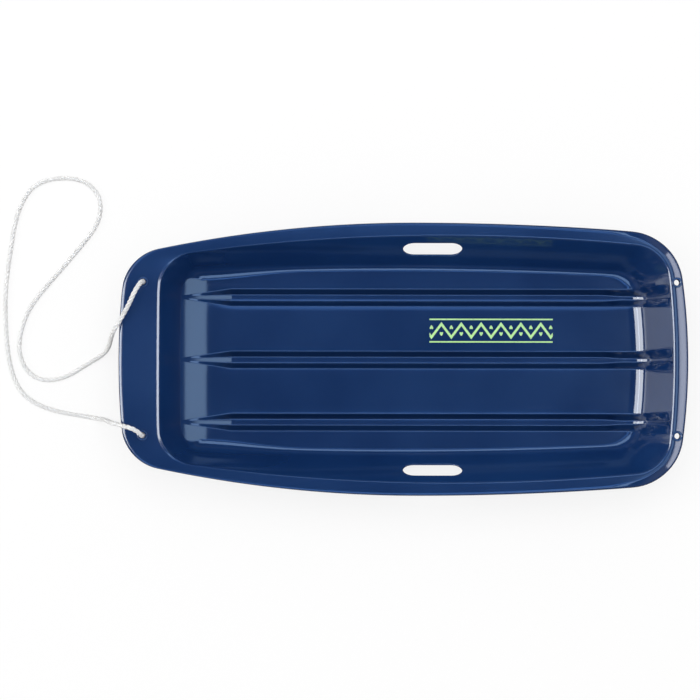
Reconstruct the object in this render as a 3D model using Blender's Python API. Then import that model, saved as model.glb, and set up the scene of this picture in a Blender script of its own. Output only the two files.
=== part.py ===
"""A child's moulded plastic toboggan with a twisted tow rope.

Metres, +Z up. The tow end points along -X. The origin is on the ground under the middle of the hull.

The hull is one moulding of even wall. Its upper skin is built first, from three outlines seen from
above: the lip that bounds the flange, the rim where the flange turns down into the tub, and the foot
where the wall meets the floor. Sections join them all the way round. The floor between them carries
three channels, which are the runners when seen from below. The skin then gets its thickness, the rope
eyes are joined on, and the hand slots and eye holes are cut.
"""
import math

import bmesh
import bpy
import numpy as np

# Hull: heights
WALL = 0.0025
RUNNER_DEPTH = 0.009
FLOOR_Z = WALL + RUNNER_DEPTH
RIM_Z = 0.088
LIP_HEIGHT = 0.006
LIP_FLARE = 0.0011

# Hull: outlines from above, given as one half that is mirrored about y = 0.
# Each half has a shallow arc across the front, a round corner, two side arcs that share their widest
# point, a second corner and a shallow arc across the rear.
LIP = dict(front=-0.4202, rear=0.4220, half_width=0.2015, widest_x=0.0175, front_side=1.85,
           rear_side=4.18, front_end=1.11, rear_end=0.86, front_corner=0.068, rear_corner=0.082)
RIM = dict(front=-0.3615, rear=0.398, half_width=0.1815, widest_x=0.060, front_side=2.75,
           rear_side=3.00, front_end=9.0, rear_end=1.20, front_corner=0.055, rear_corner=0.055)
FOOT = dict(front=-0.3345, rear=0.3613, half_width=0.141, widest_x=-0.020, front_side=6.0,
            rear_side=7.0, front_end=4.0, rear_end=0.75, front_corner=0.036, rear_corner=0.040)

# Hull: how broadly each edge of a section is rounded, as the length cut off each of its two legs
RIM_CUT = 0.0030
FOOT_CUT_SIDE = 0.0085
FOOT_CUT_FRONT = 0.0015
FOOT_CUT_REAR = 0.0160
LIP_CUT = 0.0030
DROOP_CUT = 0.0015

# Hull: the foot's rounding goes over from the sides' to each end's between these distances from x = 0
FOOT_SIDE_END_X = 0.300
FOOT_FRONT_X = 0.330
FOOT_REAR_X = 0.350

# Hull: the flange slopes down before its lip, a little at the sides and over most of it at the rear,
# where a flat margin is left beside the rim
DROOP_SIDE = 0.0050
DROOP_SIDE_SLOPE = math.tan(math.radians(3))
REAR_FLAT = 0.0065
DROOP_REAR_SLOPE = math.tan(math.radians(39))
DROOP_START_X = 0.300
DROOP_FULL_X = 0.385

# Hull: the floor ramps up to the front wall
RAMP_END_X = -0.272
RAMP_RADIUS = 0.200

# Runners: three channels in the floor, which run out on the ramp and climb the rear wall. Up the wall
# they widen at their top, narrow at their flat, and lose depth as 1 - height ** CHANNEL_CLIMB.
CHANNEL_Y = (-0.094, 0.0, 0.094)
CHANNEL_HALF_TOP = 0.0128
CHANNEL_HALF_FLAT = 0.0050
CHANNEL_HALF_AT_FRONT = 0.0070
CHANNEL_HALF_AT_RIM = 0.0170
CHANNEL_FLAT_AT_RIM = 0.0035
CHANNEL_START_X = -0.334
CHANNEL_FULL_X = -0.258
CHANNEL_ROUNDING = 0.15
CHANNEL_CLIMB = 3.0
SPLIT_Y = 0.114

# Rope eyes, hand slots
EYE_Y = 0.113
FRONT_EYE_X = -0.384
REAR_EYE_X = 0.4025
EYE_RADIUS = 0.0066
EYE_HOLE_RADIUS = 0.0041
EYE_TOP_Z = RIM_Z + 0.0012
FRONT_EYE_BOTTOM_Z = RIM_Z - WALL - 0.0010
REAR_EYE_BOTTOM_Z = RIM_Z - 0.0100
SLOT_X = 0.044
SLOT_Z = 0.0545
SLOT_LENGTH = 0.088
SLOT_WIDTH = 0.034
SLOT_REACH = 0.012

# Tow rope
ROPE_DIAMETER = 0.0070
ROPE_POINT_SPACING = 2.5 * ROPE_DIAMETER
ROPE_SPAN_POINTS = 60
ROPE_SIDES_RESOLUTION = 2
ROPE_REST_Z = ROPE_DIAMETER / 2 + 0.0001
KNOT_RADIUS = 0.0105
KNOT_HEIGHT = 0.0200
KNOT_RINGS = 9
KNOT_FULLNESS = 0.7
KNOT_SHARP_ANGLE = math.radians(50)
TAIL_LENGTH = 0.0160
TOUCH_GAP = 0.0003
KNOT_TOP_Z = FRONT_EYE_BOTTOM_Z - TOUCH_GAP

# The rope's route in millimetres, chosen by hand: up out of the left eye, along the flange, over the
# lip to the ground, round two open loops, back up over the lip and down into the right eye
ROPE_ROUTE = (
    (-384, 113, 84.5), (-384, 113, 92), (-384.2, 112.7, 99.5), (-386.5, 109, 108), (-391.5, 101, 112.5),
    (-398, 89, 109), (-404.5, 77, 101), (-411, 66, 96.5), (-417.5, 55, 95.5), (-424, 45, 92),
    (-429, 37.5, 82), (-433, 31.5, 66), (-437, 25.5, 46), (-442, 18.5, 24), (-450, 10, 8.5),
    (-463, 1, 3.7), (-481, -10, 3.5), (-505, -24, 3.5), (-533, -31, 3.5), (-560, -23, 3.5),
    (-577, 4, 3.5), (-578, 34, 3.5), (-565, 74, 3.5), (-540, 109, 3.5), (-510, 144, 3.5),
    (-480, 180, 3.5), (-460, 213, 3.5), (-461, 248, 3.5), (-484, 270, 3.5), (-520, 275, 3.5),
    (-558, 262, 3.5), (-582, 222, 3.5), (-592, 172, 3.5), (-600, 111, 3.5), (-600, 49, 3.5),
    (-593, -6, 3.5), (-574, -50, 3.5), (-535, -74, 3.5), (-490, -84, 3.5), (-466, -88, 4.5),
    (-452, -90, 14), (-444, -91.5, 34), (-437.5, -93, 58), (-430.5, -94.5, 80), (-420, -96.5, 98),
    (-406, -100, 112), (-394.5, -104, 113), (-387.3, -109.2, 108), (-384.2, -112.7, 99.5),
    (-384, -113, 92), (-384, -113, 84.5),
)
MM = 0.001


def polar(centre, radius, angles):
    """Points of an arc, one row each."""
    return np.stack([centre[0] + radius * np.cos(angles), centre[1] + radius * np.sin(angles)], axis=1)


def corner_centre(end_centre, end_radius, side_centre, side_radius, corner_radius):
    """Centre of the round corner that touches an end arc and a side arc from inside."""
    a = np.array(end_centre)
    b = np.array(side_centre)
    ra = end_radius - corner_radius
    rb = side_radius - corner_radius
    span = np.linalg.norm(b - a)
    along = (ra * ra - rb * rb + span * span) / (2 * span)
    across = math.sqrt(ra * ra - along * along)
    unit = (b - a) / span
    normal = np.array([-unit[1], unit[0]])
    options = (a + along * unit + across * normal, a + along * unit - across * normal)
    return max(options, key=lambda point: point[1])


def angle_of(point, centre):
    return math.atan2(point[1] - centre[1], point[0] - centre[0])


class Outline:
    """Half of an outline from above, as three runs of points: nose, flank and tail."""

    STEPS = 400

    def __init__(self, front, rear, half_width, widest_x, front_side, rear_side, front_end, rear_end,
                 front_corner, rear_corner):
        nose = self.end_run(front + front_end, front_end, math.pi, widest_x, half_width, front_side,
                            front_corner)
        tail = self.end_run(rear - rear_end, rear_end, 0.0, widest_x, half_width, rear_side, rear_corner)
        front_centre = (widest_x, half_width - front_side)
        rear_centre = (widest_x, half_width - rear_side)
        top = math.pi / 2
        fore = polar(front_centre, front_side, np.linspace(angle_of(nose[-1], front_centre), top, self.STEPS))
        aft = polar(rear_centre, rear_side, np.linspace(top, angle_of(tail[-1], rear_centre), self.STEPS))
        self.nose = nose
        self.flank = np.concatenate([fore, aft[1:]])
        self.tail = tail

    def end_run(self, end_x, end_radius, end_angle, widest_x, half_width, side_radius, corner_radius):
        """From the middle of one end, round its corner, to where the side arc starts."""
        end_centre = (end_x, 0.0)
        side_centre = (widest_x, half_width - side_radius)
        centre = corner_centre(end_centre, end_radius, side_centre, side_radius, corner_radius)
        leave = angle_of(centre, end_centre)
        join = angle_of(centre, side_centre)
        end = polar(end_centre, end_radius, np.linspace(end_angle, leave, self.STEPS))
        corner = polar(centre, corner_radius, np.linspace(leave, join, self.STEPS))
        return np.concatenate([end, corner[1:]])

    def front_x(self, y):
        return np.interp(np.abs(y), self.nose[:, 1], self.nose[:, 0])

    def rear_x(self, y):
        return np.interp(np.abs(y), self.tail[:, 1], self.tail[:, 0])

    def side_points(self, corner_steps, flank_steps):
        """Points round one side, from SPLIT_Y at the front to SPLIT_Y at the rear."""
        nose = resample(self.nose, SPLIT_Y, corner_steps)
        flank = resample(self.flank, None, flank_steps)
        tail = resample(self.tail, SPLIT_Y, corner_steps)[::-1]
        return np.concatenate([nose, flank[1:], tail[1:]])


def lengths_along(points):
    """Distance of each point from the first, measured along the run."""
    return np.concatenate([[0.0], np.cumsum(np.linalg.norm(np.diff(points, axis=0), axis=1))])


def resample(run, start_y, steps):
    """Evenly spaced points along a run, which starts where it first reaches start_y."""
    lengths = lengths_along(run)
    start = 0.0 if start_y is None else np.interp(start_y, run[:, 1], lengths)
    at = np.linspace(start, lengths[-1], steps + 1)
    return np.stack([np.interp(at, lengths, run[:, i]) for i in (0, 1)], axis=1)


def ramp_lift(x):
    """Height of the floor above its flat part: an arc that starts at RAMP_END_X."""
    run = np.clip(RAMP_END_X - x, 0.0, None)
    return RAMP_RADIUS - np.sqrt(RAMP_RADIUS ** 2 - run ** 2)


def ramp_slope(x):
    """Rise of the ramp for each metre towards the front."""
    run = np.clip(RAMP_END_X - x, 0.0, None)
    return run / np.sqrt(RAMP_RADIUS ** 2 - run ** 2)


def smooth(value, low, high):
    """0 below low, 1 above high, and a smooth step between."""
    t = np.clip((value - low) / (high - low), 0.0, 1.0)
    return t * t * (3 - 2 * t)


def channel_columns():
    """Across one channel: place between flat edge (0) and top edge (1), side, and share of depth."""
    r = CHANNEL_ROUNDING
    half = [(1 + r, 0.0), (1 - r, r), (r, 1 - r), (-r, 1.0)]
    left = [(place, -1.0, share) for place, share in half]
    right = [(place, 1.0, share) for place, share in reversed(half)]
    return left + right


def column_table():
    """All columns of the middle of the hull, from -SPLIT_Y to SPLIT_Y.

    Each row is the base y, the part of the channel's top half width that is added to it, the same
    for the flat half width, and the share of the channel's depth.
    """
    rows = [(-SPLIT_Y, 0.0, 0.0, 0.0)]
    for index, centre in enumerate(CHANNEL_Y):
        for place, side, share in channel_columns():
            rows.append((centre, side * place, side * (1 - place), share))
        if index < 2:
            middle = (centre + CHANNEL_Y[index + 1]) / 2
            rows.append((middle, 0.0, 0.0, 0.0))
    rows.append((SPLIT_Y, 0.0, 0.0, 0.0))
    return np.array(rows)


COLUMNS = column_table()


def column_y(half_top):
    """The y of every column where the channels have this half width at the top."""
    return COLUMNS[:, 0] + COLUMNS[:, 1] * half_top + COLUMNS[:, 2] * CHANNEL_HALF_FLAT


def rounded_path(corners, cuts, steps):
    """Sections through corner points, each inner corner rounded by a quadratic curve.

    corners is a list of arrays of points, one point for each section; cuts and steps have one entry
    for each inner corner. Returns rows of points and rows of unit tangents.
    """
    points = [corners[0]]
    tangents = [unit_rows(corners[1] - corners[0])]
    for index, (cut, count) in enumerate(zip(cuts, steps), start=1):
        before = unit_rows(corners[index - 1] - corners[index])
        after = unit_rows(corners[index + 1] - corners[index])
        start = corners[index] + before * cut
        end = corners[index] + after * cut
        for t in np.linspace(0.0, 1.0, count + 1):
            points.append((1 - t) ** 2 * start + 2 * t * (1 - t) * corners[index] + t * t * end)
            tangents.append(unit_rows((1 - t) * (corners[index] - start) + t * (end - corners[index])))
    return np.array(points), np.array(tangents)


def unit_rows(vectors):
    return vectors / np.linalg.norm(vectors, axis=-1, keepdims=True)


def at_height(plan, z):
    return np.concatenate([plan, np.broadcast_to(np.asarray(z, dtype=float), (len(plan),))[:, None]], axis=1)


# How finely the hull is divided. The lip's and the flange's two roundings and the rim's lie above the
# straight of the wall, and the foot's below it.
CORNER_STEPS = 8
FLANK_STEPS = 12
SECTION_STEPS = (3, 2, 3, 4)
WALL_ROWS = 3
RAMP_STEPS = 4
RUN_OUT_STEPS = 2
FLOOR_STEPS = 5
ROUND_STEPS = 16
FIRST_WALL_ROW = sum(steps + 1 for steps in SECTION_STEPS[:3])
REAR_START = len(COLUMNS) + 2 * CORNER_STEPS + FLANK_STEPS - 1


def section_loop():
    """Plan points of lip, rim and foot for every section, in one loop round the hull.

    The loop runs across the front from -SPLIT_Y to SPLIT_Y, along the +Y side to the rear, back
    across the rear, and along the -Y side to the front.
    """
    loops = []
    front_y = column_y(CHANNEL_HALF_AT_FRONT)
    rear_y = column_y(CHANNEL_HALF_TOP)[::-1]
    for shape in (LIP, RIM, FOOT):
        outline = Outline(**shape)
        front = np.stack([outline.front_x(front_y), front_y], axis=1)
        rear = np.stack([outline.rear_x(rear_y), rear_y], axis=1)
        side = outline.side_points(CORNER_STEPS, FLANK_STEPS)[1:-1]
        other = (side * (1, -1))[::-1]
        loops.append(np.concatenate([front, side, rear, other]))
    return loops


def wall_sections():
    """The upper skin from the lip to the edge of the floor, as rows of points and of tangents."""
    lip, rim, foot = section_loop()
    outward = unit_rows(lip - rim)
    inward = unit_rows(foot - rim)
    rear = smooth(lip[:, 0], DROOP_START_X, DROOP_FULL_X)
    whole = np.linalg.norm(lip - rim, axis=1) - LIP_FLARE - REAR_FLAT
    droop = DROOP_SIDE + (whole - DROOP_SIDE) * rear
    droop_slope = DROOP_SIDE_SLOPE + (DROOP_REAR_SLOPE - DROOP_SIDE_SLOPE) * rear
    shoulder_z = RIM_Z - droop * droop_slope
    cut = FOOT_CUT_SIDE + (FOOT_CUT_REAR - FOOT_CUT_SIDE) * smooth(foot[:, 0], FOOT_SIDE_END_X, FOOT_REAR_X)
    cut = cut + (FOOT_CUT_FRONT - cut) * smooth(-foot[:, 0], FOOT_SIDE_END_X, FOOT_FRONT_X)
    edge = foot + inward * cut[:, None]
    edge_z = FLOOR_Z + ramp_lift(edge[:, 0])
    foot_z = edge_z + ramp_slope(edge[:, 0]) * (edge[:, 0] - foot[:, 0])
    corners = [
        at_height(lip, shoulder_z - LIP_HEIGHT),
        at_height(lip - outward * LIP_FLARE, shoulder_z),
        at_height(lip - outward * (LIP_FLARE + droop)[:, None], RIM_Z),
        at_height(rim, RIM_Z),
        at_height(foot, foot_z),
        at_height(edge, edge_z),
    ]
    floor_leg = np.linalg.norm(corners[5] - corners[4], axis=1)[:, None]
    cuts = (LIP_CUT, DROOP_CUT, RIM_CUT, floor_leg)
    points, tangents = rounded_path(corners, cuts, SECTION_STEPS)
    return divide_wall(points), divide_wall(tangents)


def divide_wall(rows):
    """Put WALL_ROWS even rows into the straight of the wall."""
    top = rows[FIRST_WALL_ROW]
    bottom = rows[FIRST_WALL_ROW + 1]
    shares = np.linspace(0.0, 1.0, WALL_ROWS + 2)[1:-1, None, None]
    between = top + (bottom - top) * shares
    return np.concatenate([rows[:FIRST_WALL_ROW + 1], between, rows[FIRST_WALL_ROW + 1:]])


def cut_channels(points, tangents):
    """Carry the channels into the foot of the ramp and up the rear wall, where they end at the rim."""
    count = len(COLUMNS)
    front = points[:, :count]
    front[..., 2] -= channel_depth(front[..., 0]) * COLUMNS[:, 3]
    wall = points[FIRST_WALL_ROW:, REAR_START:REAR_START + count]
    slope = tangents[FIRST_WALL_ROW:, REAR_START:REAR_START + count]
    height = np.clip((wall[..., 2] - FLOOR_Z) / (RIM_Z - FLOOR_Z), 0.0, 1.0)
    down = np.stack([-slope[..., 2], np.zeros_like(height), slope[..., 0]], axis=-1)
    depth = RUNNER_DEPTH * (1 - height ** CHANNEL_CLIMB) * COLUMNS[::-1, 3]
    wall += down * depth[..., None]
    spread = COLUMNS[::-1, 1] * (CHANNEL_HALF_AT_RIM - CHANNEL_HALF_TOP)
    narrowing = COLUMNS[::-1, 2] * (CHANNEL_FLAT_AT_RIM - CHANNEL_HALF_FLAT)
    wall[..., 1] += (spread + narrowing) * height


def channel_depth(x):
    """Depth of a channel under the floor, from nothing on the ramp to its full depth."""
    return RUNNER_DEPTH * np.clip((x - CHANNEL_START_X) / (CHANNEL_FULL_X - CHANNEL_START_X), 0.0, 1.0)


def floor_rows(front_edge, rear_edge):
    """Points of the middle of the floor, as rows from the front wall's foot to the rear wall's foot."""
    start = front_edge[:, 0]
    steps = [start + (RAMP_END_X - start) * t for t in np.linspace(0, 1, RAMP_STEPS + 1)[1:]]
    steps += [np.full_like(start, x) for x in np.linspace(RAMP_END_X, CHANNEL_FULL_X, RUN_OUT_STEPS + 1)[1:]]
    long_run = rear_edge[:, 0] - CHANNEL_FULL_X
    steps += [CHANNEL_FULL_X + long_run * t for t in np.linspace(0, 1, FLOOR_STEPS + 1)[1:-1]]
    x = np.array(steps)
    share = np.clip((x - start) / (CHANNEL_FULL_X - start), 0.0, 1.0)
    half_top = CHANNEL_HALF_AT_FRONT + (CHANNEL_HALF_TOP - CHANNEL_HALF_AT_FRONT) * share
    y = column_y(half_top)
    z = FLOOR_Z + ramp_lift(x) - channel_depth(x) * COLUMNS[:, 3]
    return np.stack([x, y, z], axis=-1)


def grid_faces(index):
    """Four-sided faces over a grid of vertex numbers."""
    a = index[:-1, :-1].ravel()
    b = index[1:, :-1].ravel()
    c = index[1:, 1:].ravel()
    d = index[:-1, 1:].ravel()
    return np.stack([a, b, c, d], axis=1).tolist()


def strip_faces(first, second, points):
    """Triangles between two runs of vertices that share both ends, in step along X."""
    faces = []
    i = 0
    j = 0
    while i < len(first) - 1 or j < len(second) - 1:
        next_first = points[first[i + 1]][0] if i < len(first) - 1 else math.inf
        next_second = points[second[j + 1]][0] if j < len(second) - 1 else math.inf
        if next_first <= next_second:
            face = (first[i], first[i + 1], second[j])
            i += 1
        else:
            face = (first[i], second[j + 1], second[j])
            j += 1
        if len(set(face)) == 3:
            faces.append(face)
    return faces


def hull_skin():
    """Vertices and faces of the hull's upper skin."""
    sections, tangents = wall_sections()
    cut_channels(sections, tangents)
    rows, loop = sections.shape[:2]
    count = len(COLUMNS)
    wall_index = np.arange(rows * loop).reshape(rows, loop)
    front_edge = wall_index[-1, :count]
    rear_edge = wall_index[-1, REAR_START:REAR_START + count][::-1]
    points = sections.reshape(-1, 3)
    middle = floor_rows(points[front_edge], points[rear_edge])
    middle_index = len(points) + np.arange(middle.shape[0] * count).reshape(-1, count)
    floor_index = np.vstack([front_edge, middle_index, rear_edge])
    points = np.concatenate([points, middle.reshape(-1, 3)])
    closed = np.concatenate([wall_index, wall_index[:, :1]], axis=1)
    faces = grid_faces(closed) + grid_faces(floor_index)
    left = wall_index[-1, count - 1:REAR_START + 1]
    right = np.concatenate([wall_index[-1, :1], wall_index[-1, REAR_START + count - 1:][::-1]])
    faces += strip_faces(floor_index[:, -1], left, points)
    faces += strip_faces(right, floor_index[:, 0], points)
    return points, faces


def new_object(name, mesh_data, material=None):
    thing = bpy.data.objects.new(name, mesh_data)
    bpy.context.collection.objects.link(thing)
    if material is not None:
        mesh_data.materials.append(material)
    return thing


def mesh_from_bmesh(name, bm):
    data = bpy.data.meshes.new(name)
    bm.to_mesh(data)
    bm.free()
    return data


def as_guide(thing):
    """Mark an object as a tool for other objects, not a piece of the toboggan."""
    thing.hide_render = True
    thing.display_type = "WIRE"
    return thing


def add_round_bar(bm, centre_x, centre_y, bottom_z, top_z, radius):
    """Add an upright closed cylinder."""
    made = bmesh.ops.create_cone(bm, cap_ends=True, segments=ROUND_STEPS, radius1=radius, radius2=radius,
                                 depth=top_z - bottom_z)
    middle = (centre_x, centre_y, (bottom_z + top_z) / 2)
    bmesh.ops.translate(bm, verts=made["verts"], vec=middle)


def add_slot_bar(bm, side):
    """Add a bar with round ends that crosses one side wall square to its face."""
    rim_y = RIM["half_width"]
    lean = math.atan2(RIM_Z - FLOOR_Z, rim_y - FOOT["half_width"])
    middle_y = rim_y - (RIM_Z - SLOT_Z) / math.tan(lean)
    end_radius = SLOT_WIDTH / 2
    end_x = SLOT_LENGTH / 2 - end_radius
    quarter = np.linspace(-math.pi / 2, math.pi / 2, ROUND_STEPS // 2 + 1)
    right = polar((end_x, 0.0), end_radius, quarter)
    outline = np.concatenate([right, -right])
    normal = np.array([0.0, side * math.sin(lean), -math.cos(lean)])
    along = np.array([0.0, side * math.cos(lean), math.sin(lean)])
    middle = np.array([SLOT_X, side * middle_y, SLOT_Z])
    ends = []
    for reach in (-SLOT_REACH, SLOT_REACH):
        ring = [middle + (px, 0.0, 0.0) + along * py + normal * reach for px, py in outline]
        ends.append([bm.verts.new(point) for point in ring])
    bm.faces.new(ends[0])
    bm.faces.new(ends[1][::-1])
    count = len(outline)
    for i in range(count):
        j = (i + 1) % count
        bm.faces.new((ends[0][j], ends[0][i], ends[1][i], ends[1][j]))


def eye_places():
    """Centre and bottom height of the four rope eyes."""
    for side in (1, -1):
        yield FRONT_EYE_X, side * EYE_Y, FRONT_EYE_BOTTOM_Z
        yield REAR_EYE_X, side * EYE_Y, REAR_EYE_BOTTOM_Z


def build_eyes():
    """The moulded rings of the rope eyes, as a guide that is joined to the hull."""
    bm = bmesh.new()
    for x, y, bottom in eye_places():
        add_round_bar(bm, x, y, bottom, EYE_TOP_Z, EYE_RADIUS)
    return as_guide(new_object("eye_rings", mesh_from_bmesh("eye_rings", bm)))


def build_cuts():
    """The hand slots and the holes of the eyes, as a guide that is cut from the hull."""
    bm = bmesh.new()
    for x, y, bottom in eye_places():
        add_round_bar(bm, x, y, bottom - WALL, EYE_TOP_Z + WALL, EYE_HOLE_RADIUS)
    for side in (1, -1):
        add_slot_bar(bm, side)
    bmesh.ops.recalc_face_normals(bm, faces=bm.faces)
    return as_guide(new_object("slots_and_holes", mesh_from_bmesh("slots_and_holes", bm)))


def build_hull(material):
    """The one-piece shell: skin, thickness, rope eyes, hand slots and holes."""
    points, faces = hull_skin()
    data = bpy.data.meshes.new("hull")
    data.from_pydata(points.tolist(), [], faces)
    bm = bmesh.new()
    bm.from_mesh(data)
    bmesh.ops.recalc_face_normals(bm, faces=bm.faces)
    if sum(face.normal.z for face in bm.faces) < 0:
        bmesh.ops.reverse_faces(bm, faces=bm.faces)
    bm.to_mesh(data)
    bm.free()
    data.shade_smooth()
    hull = new_object("hull", data, material)
    shell = hull.modifiers.new("thickness", "SOLIDIFY")
    shell.thickness = WALL
    shell.offset = -1.0
    shell.use_even_offset = True
    hull.modifiers.new("triangles", "TRIANGULATE")
    join = hull.modifiers.new("rope eyes", "BOOLEAN")
    join.operation = "UNION"
    join.object = build_eyes()
    cut = hull.modifiers.new("slots and holes", "BOOLEAN")
    cut.operation = "DIFFERENCE"
    cut.object = build_cuts()
    return hull


def smooth_curve(route):
    """A natural cubic curve through the route, as close points along it."""
    gaps = np.sqrt(np.linalg.norm(np.diff(route, axis=0), axis=1))
    count = len(route)
    matrix = np.eye(count)
    right = np.zeros((count, 3))
    for i in range(1, count - 1):
        matrix[i, i - 1:i + 2] = gaps[i - 1], 2 * (gaps[i - 1] + gaps[i]), gaps[i]
        rise = (route[i + 1] - route[i]) / gaps[i] - (route[i] - route[i - 1]) / gaps[i - 1]
        right[i] = 6 * rise
    bend = np.linalg.solve(matrix, right)
    pieces = []
    for i in range(count - 1):
        h = gaps[i]
        t = np.linspace(0.0, h, ROPE_SPAN_POINTS, endpoint=i == count - 2)[:, None]
        s = h - t
        value = (bend[i] * s ** 3 + bend[i + 1] * t ** 3) / (6 * h)
        value += (route[i] / h - bend[i] * h / 6) * s + (route[i + 1] / h - bend[i + 1] * h / 6) * t
        pieces.append(value)
    return np.concatenate(pieces)


def build_rope(material):
    """The tow rope as one round tube along its route."""
    curve = smooth_curve(np.array(ROPE_ROUTE) * MM)
    lengths = lengths_along(curve)
    count = int(round(lengths[-1] / ROPE_POINT_SPACING)) + 1
    at = np.linspace(0.0, lengths[-1], count)
    curve[:, 2] = np.maximum(curve[:, 2], ROPE_REST_Z)
    points = np.stack([np.interp(at, lengths, curve[:, i]) for i in range(3)], axis=1)
    data = bpy.data.curves.new("tow_rope", "CURVE")
    data.dimensions = "3D"
    data.bevel_depth = ROPE_DIAMETER / 2
    data.bevel_resolution = ROPE_SIDES_RESOLUTION
    data.use_fill_caps = True
    spline = data.splines.new("POLY")
    spline.points.add(count - 1)
    for place, point in zip(spline.points, points):
        place.co = (*point, 1.0)
    spline.use_smooth = True
    return new_object("tow_rope", data, material)


def build_knot(name, side, material):
    """A stopper knot and its tail, turned about the eye's axis."""
    radius = ROPE_DIAMETER / 2
    angles = np.linspace(math.pi / 2, -math.pi / 2, KNOT_RINGS)
    swell = (KNOT_RADIUS - radius) * np.clip(np.cos(angles), 0.0, 1.0) ** KNOT_FULLNESS
    bulge = list(zip(radius + swell, -KNOT_HEIGHT / 2 * (1 - np.sin(angles))))
    profile = bulge + [(radius, -KNOT_HEIGHT - TAIL_LENGTH)]
    bm = bmesh.new()
    rings = []
    for ring_radius, z in profile:
        turn = np.arange(ROUND_STEPS) * 2 * math.pi / ROUND_STEPS
        ring = polar((FRONT_EYE_X, side * EYE_Y), ring_radius, turn)
        rings.append([bm.verts.new((x, y, KNOT_TOP_Z + z)) for x, y in ring])
    for upper, lower in zip(rings, rings[1:]):
        for i in range(ROUND_STEPS):
            j = (i + 1) % ROUND_STEPS
            bm.faces.new((upper[i], lower[i], lower[j], upper[j]))
    bm.faces.new(rings[0])
    bm.faces.new(rings[-1][::-1])
    data = mesh_from_bmesh(name, bm)
    data.shade_smooth()
    data.set_sharp_from_angle(angle=KNOT_SHARP_ANGLE)
    return new_object(name, data, material)


def plain_material(name, colour, roughness):
    material = bpy.data.materials.new(name)
    material.use_nodes = True
    shader = material.node_tree.nodes["Principled BSDF"]
    shader.inputs["Base Color"].default_value = (*colour, 1.0)
    shader.inputs["Roughness"].default_value = roughness
    shader.inputs["Metallic"].default_value = 0.0
    return material


def main():
    for thing in list(bpy.data.objects):
        bpy.data.objects.remove(thing, do_unlink=True)
    build_hull(plain_material("blue moulded plastic", (0.010, 0.033, 0.107), 0.18))
    rope_white = (0.80, 0.80, 0.78)
    build_rope(plain_material("white rope", rope_white, 0.75))
    build_knot("knot_left", 1, plain_material("white rope, left knot", rope_white, 0.75))
    build_knot("knot_right", -1, plain_material("white rope, right knot", rope_white, 0.75))


main()
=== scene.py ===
"""The looks of a child's moulded plastic toboggan with a twisted tow rope.

Metres, +Z up, with the tow end along -X and the origin on the ground under the middle of the hull.
The camera and the finishes come first, then the rope and its knots, the hull and the studio.
"""
import logging
import math
from dataclasses import dataclass
from enum import Enum
from typing import Iterable, Sequence

import bmesh
import bpy
import numpy as np
from mathutils import Matrix


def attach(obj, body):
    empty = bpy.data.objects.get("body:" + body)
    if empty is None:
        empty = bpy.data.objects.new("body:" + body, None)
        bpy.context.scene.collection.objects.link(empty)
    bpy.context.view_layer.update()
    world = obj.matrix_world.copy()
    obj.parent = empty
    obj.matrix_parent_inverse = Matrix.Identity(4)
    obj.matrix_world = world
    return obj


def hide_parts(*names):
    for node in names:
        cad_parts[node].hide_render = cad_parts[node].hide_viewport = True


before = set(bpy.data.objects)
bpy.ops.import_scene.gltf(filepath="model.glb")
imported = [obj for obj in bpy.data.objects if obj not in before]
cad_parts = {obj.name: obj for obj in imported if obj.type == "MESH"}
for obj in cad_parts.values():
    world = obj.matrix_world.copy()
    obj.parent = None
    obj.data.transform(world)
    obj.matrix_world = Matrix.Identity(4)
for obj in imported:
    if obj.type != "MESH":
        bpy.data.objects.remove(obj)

log = logging.getLogger("toboggan")

MM = 0.001
BODY = "root"

# Vertices, and faces as lists of their numbers.
Solid = tuple[np.ndarray, list[list[int]]]


class Slot(Enum):
    """The material slots of the toboggan."""

    PLASTIC = "hull_plastic"
    ROPE = "rope_fibre"


def unit_rows(vectors: np.ndarray) -> np.ndarray:
    """Each vector divided by its own length."""
    return vectors / np.linalg.norm(vectors, axis=-1, keepdims=True)


def smooth_step(value: np.ndarray, low: float, high: float) -> np.ndarray:
    """0 below low, 1 above high, and 3t^2 - 2t^3 between them."""
    t = np.clip((value - low) / (high - low), 0.0, 1.0)
    return t * t * (3 - 2 * t)


def running_length(points: np.ndarray) -> np.ndarray:
    """Distance along a line of points, from its first point to each one."""
    return np.concatenate([[0.0], np.cumsum(np.linalg.norm(np.diff(points, axis=0), axis=1))])


def along(points: np.ndarray, lengths: np.ndarray, at: np.ndarray) -> np.ndarray:
    """Points of a line at given distances along it, joined by straight steps."""
    return np.stack([np.interp(at, lengths, points[:, i]) for i in range(points.shape[1])], axis=1)


def grid_faces(index: np.ndarray) -> list[list[int]]:
    """Faces over a grid of vertex numbers.

    Args:
        index: Vertex numbers. A number that repeats inside a cell makes that cell a triangle.

    Returns:
        The faces, all turned the same way.
    """
    cells = np.stack([index[:-1, :-1], index[1:, :-1], index[1:, 1:], index[:-1, 1:]], axis=-1).reshape(-1, 4)
    repeated = cells == np.roll(cells, 1, axis=1)
    whole = cells[~repeated.any(axis=1)].tolist()
    partly = [cell[~same].tolist() for cell, same in zip(cells, repeated) if same.sum() == 1]
    return whole + partly


def new_piece(name: str, vertices: np.ndarray, faces: list[list[int]]) -> bpy.types.Object:
    """A smooth-shaded mesh object at the origin, with its place in its mesh.

    Args:
        name: The object's name.
        vertices: Its points.
        faces: Its faces.

    Returns:
        The object.
    """
    mesh = bpy.data.meshes.new(name)
    mesh.from_pydata(vertices.tolist(), [], faces)
    mesh.shade_smooth()
    piece = bpy.data.objects.new(name, mesh)
    bpy.context.collection.objects.link(piece)
    return piece


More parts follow.
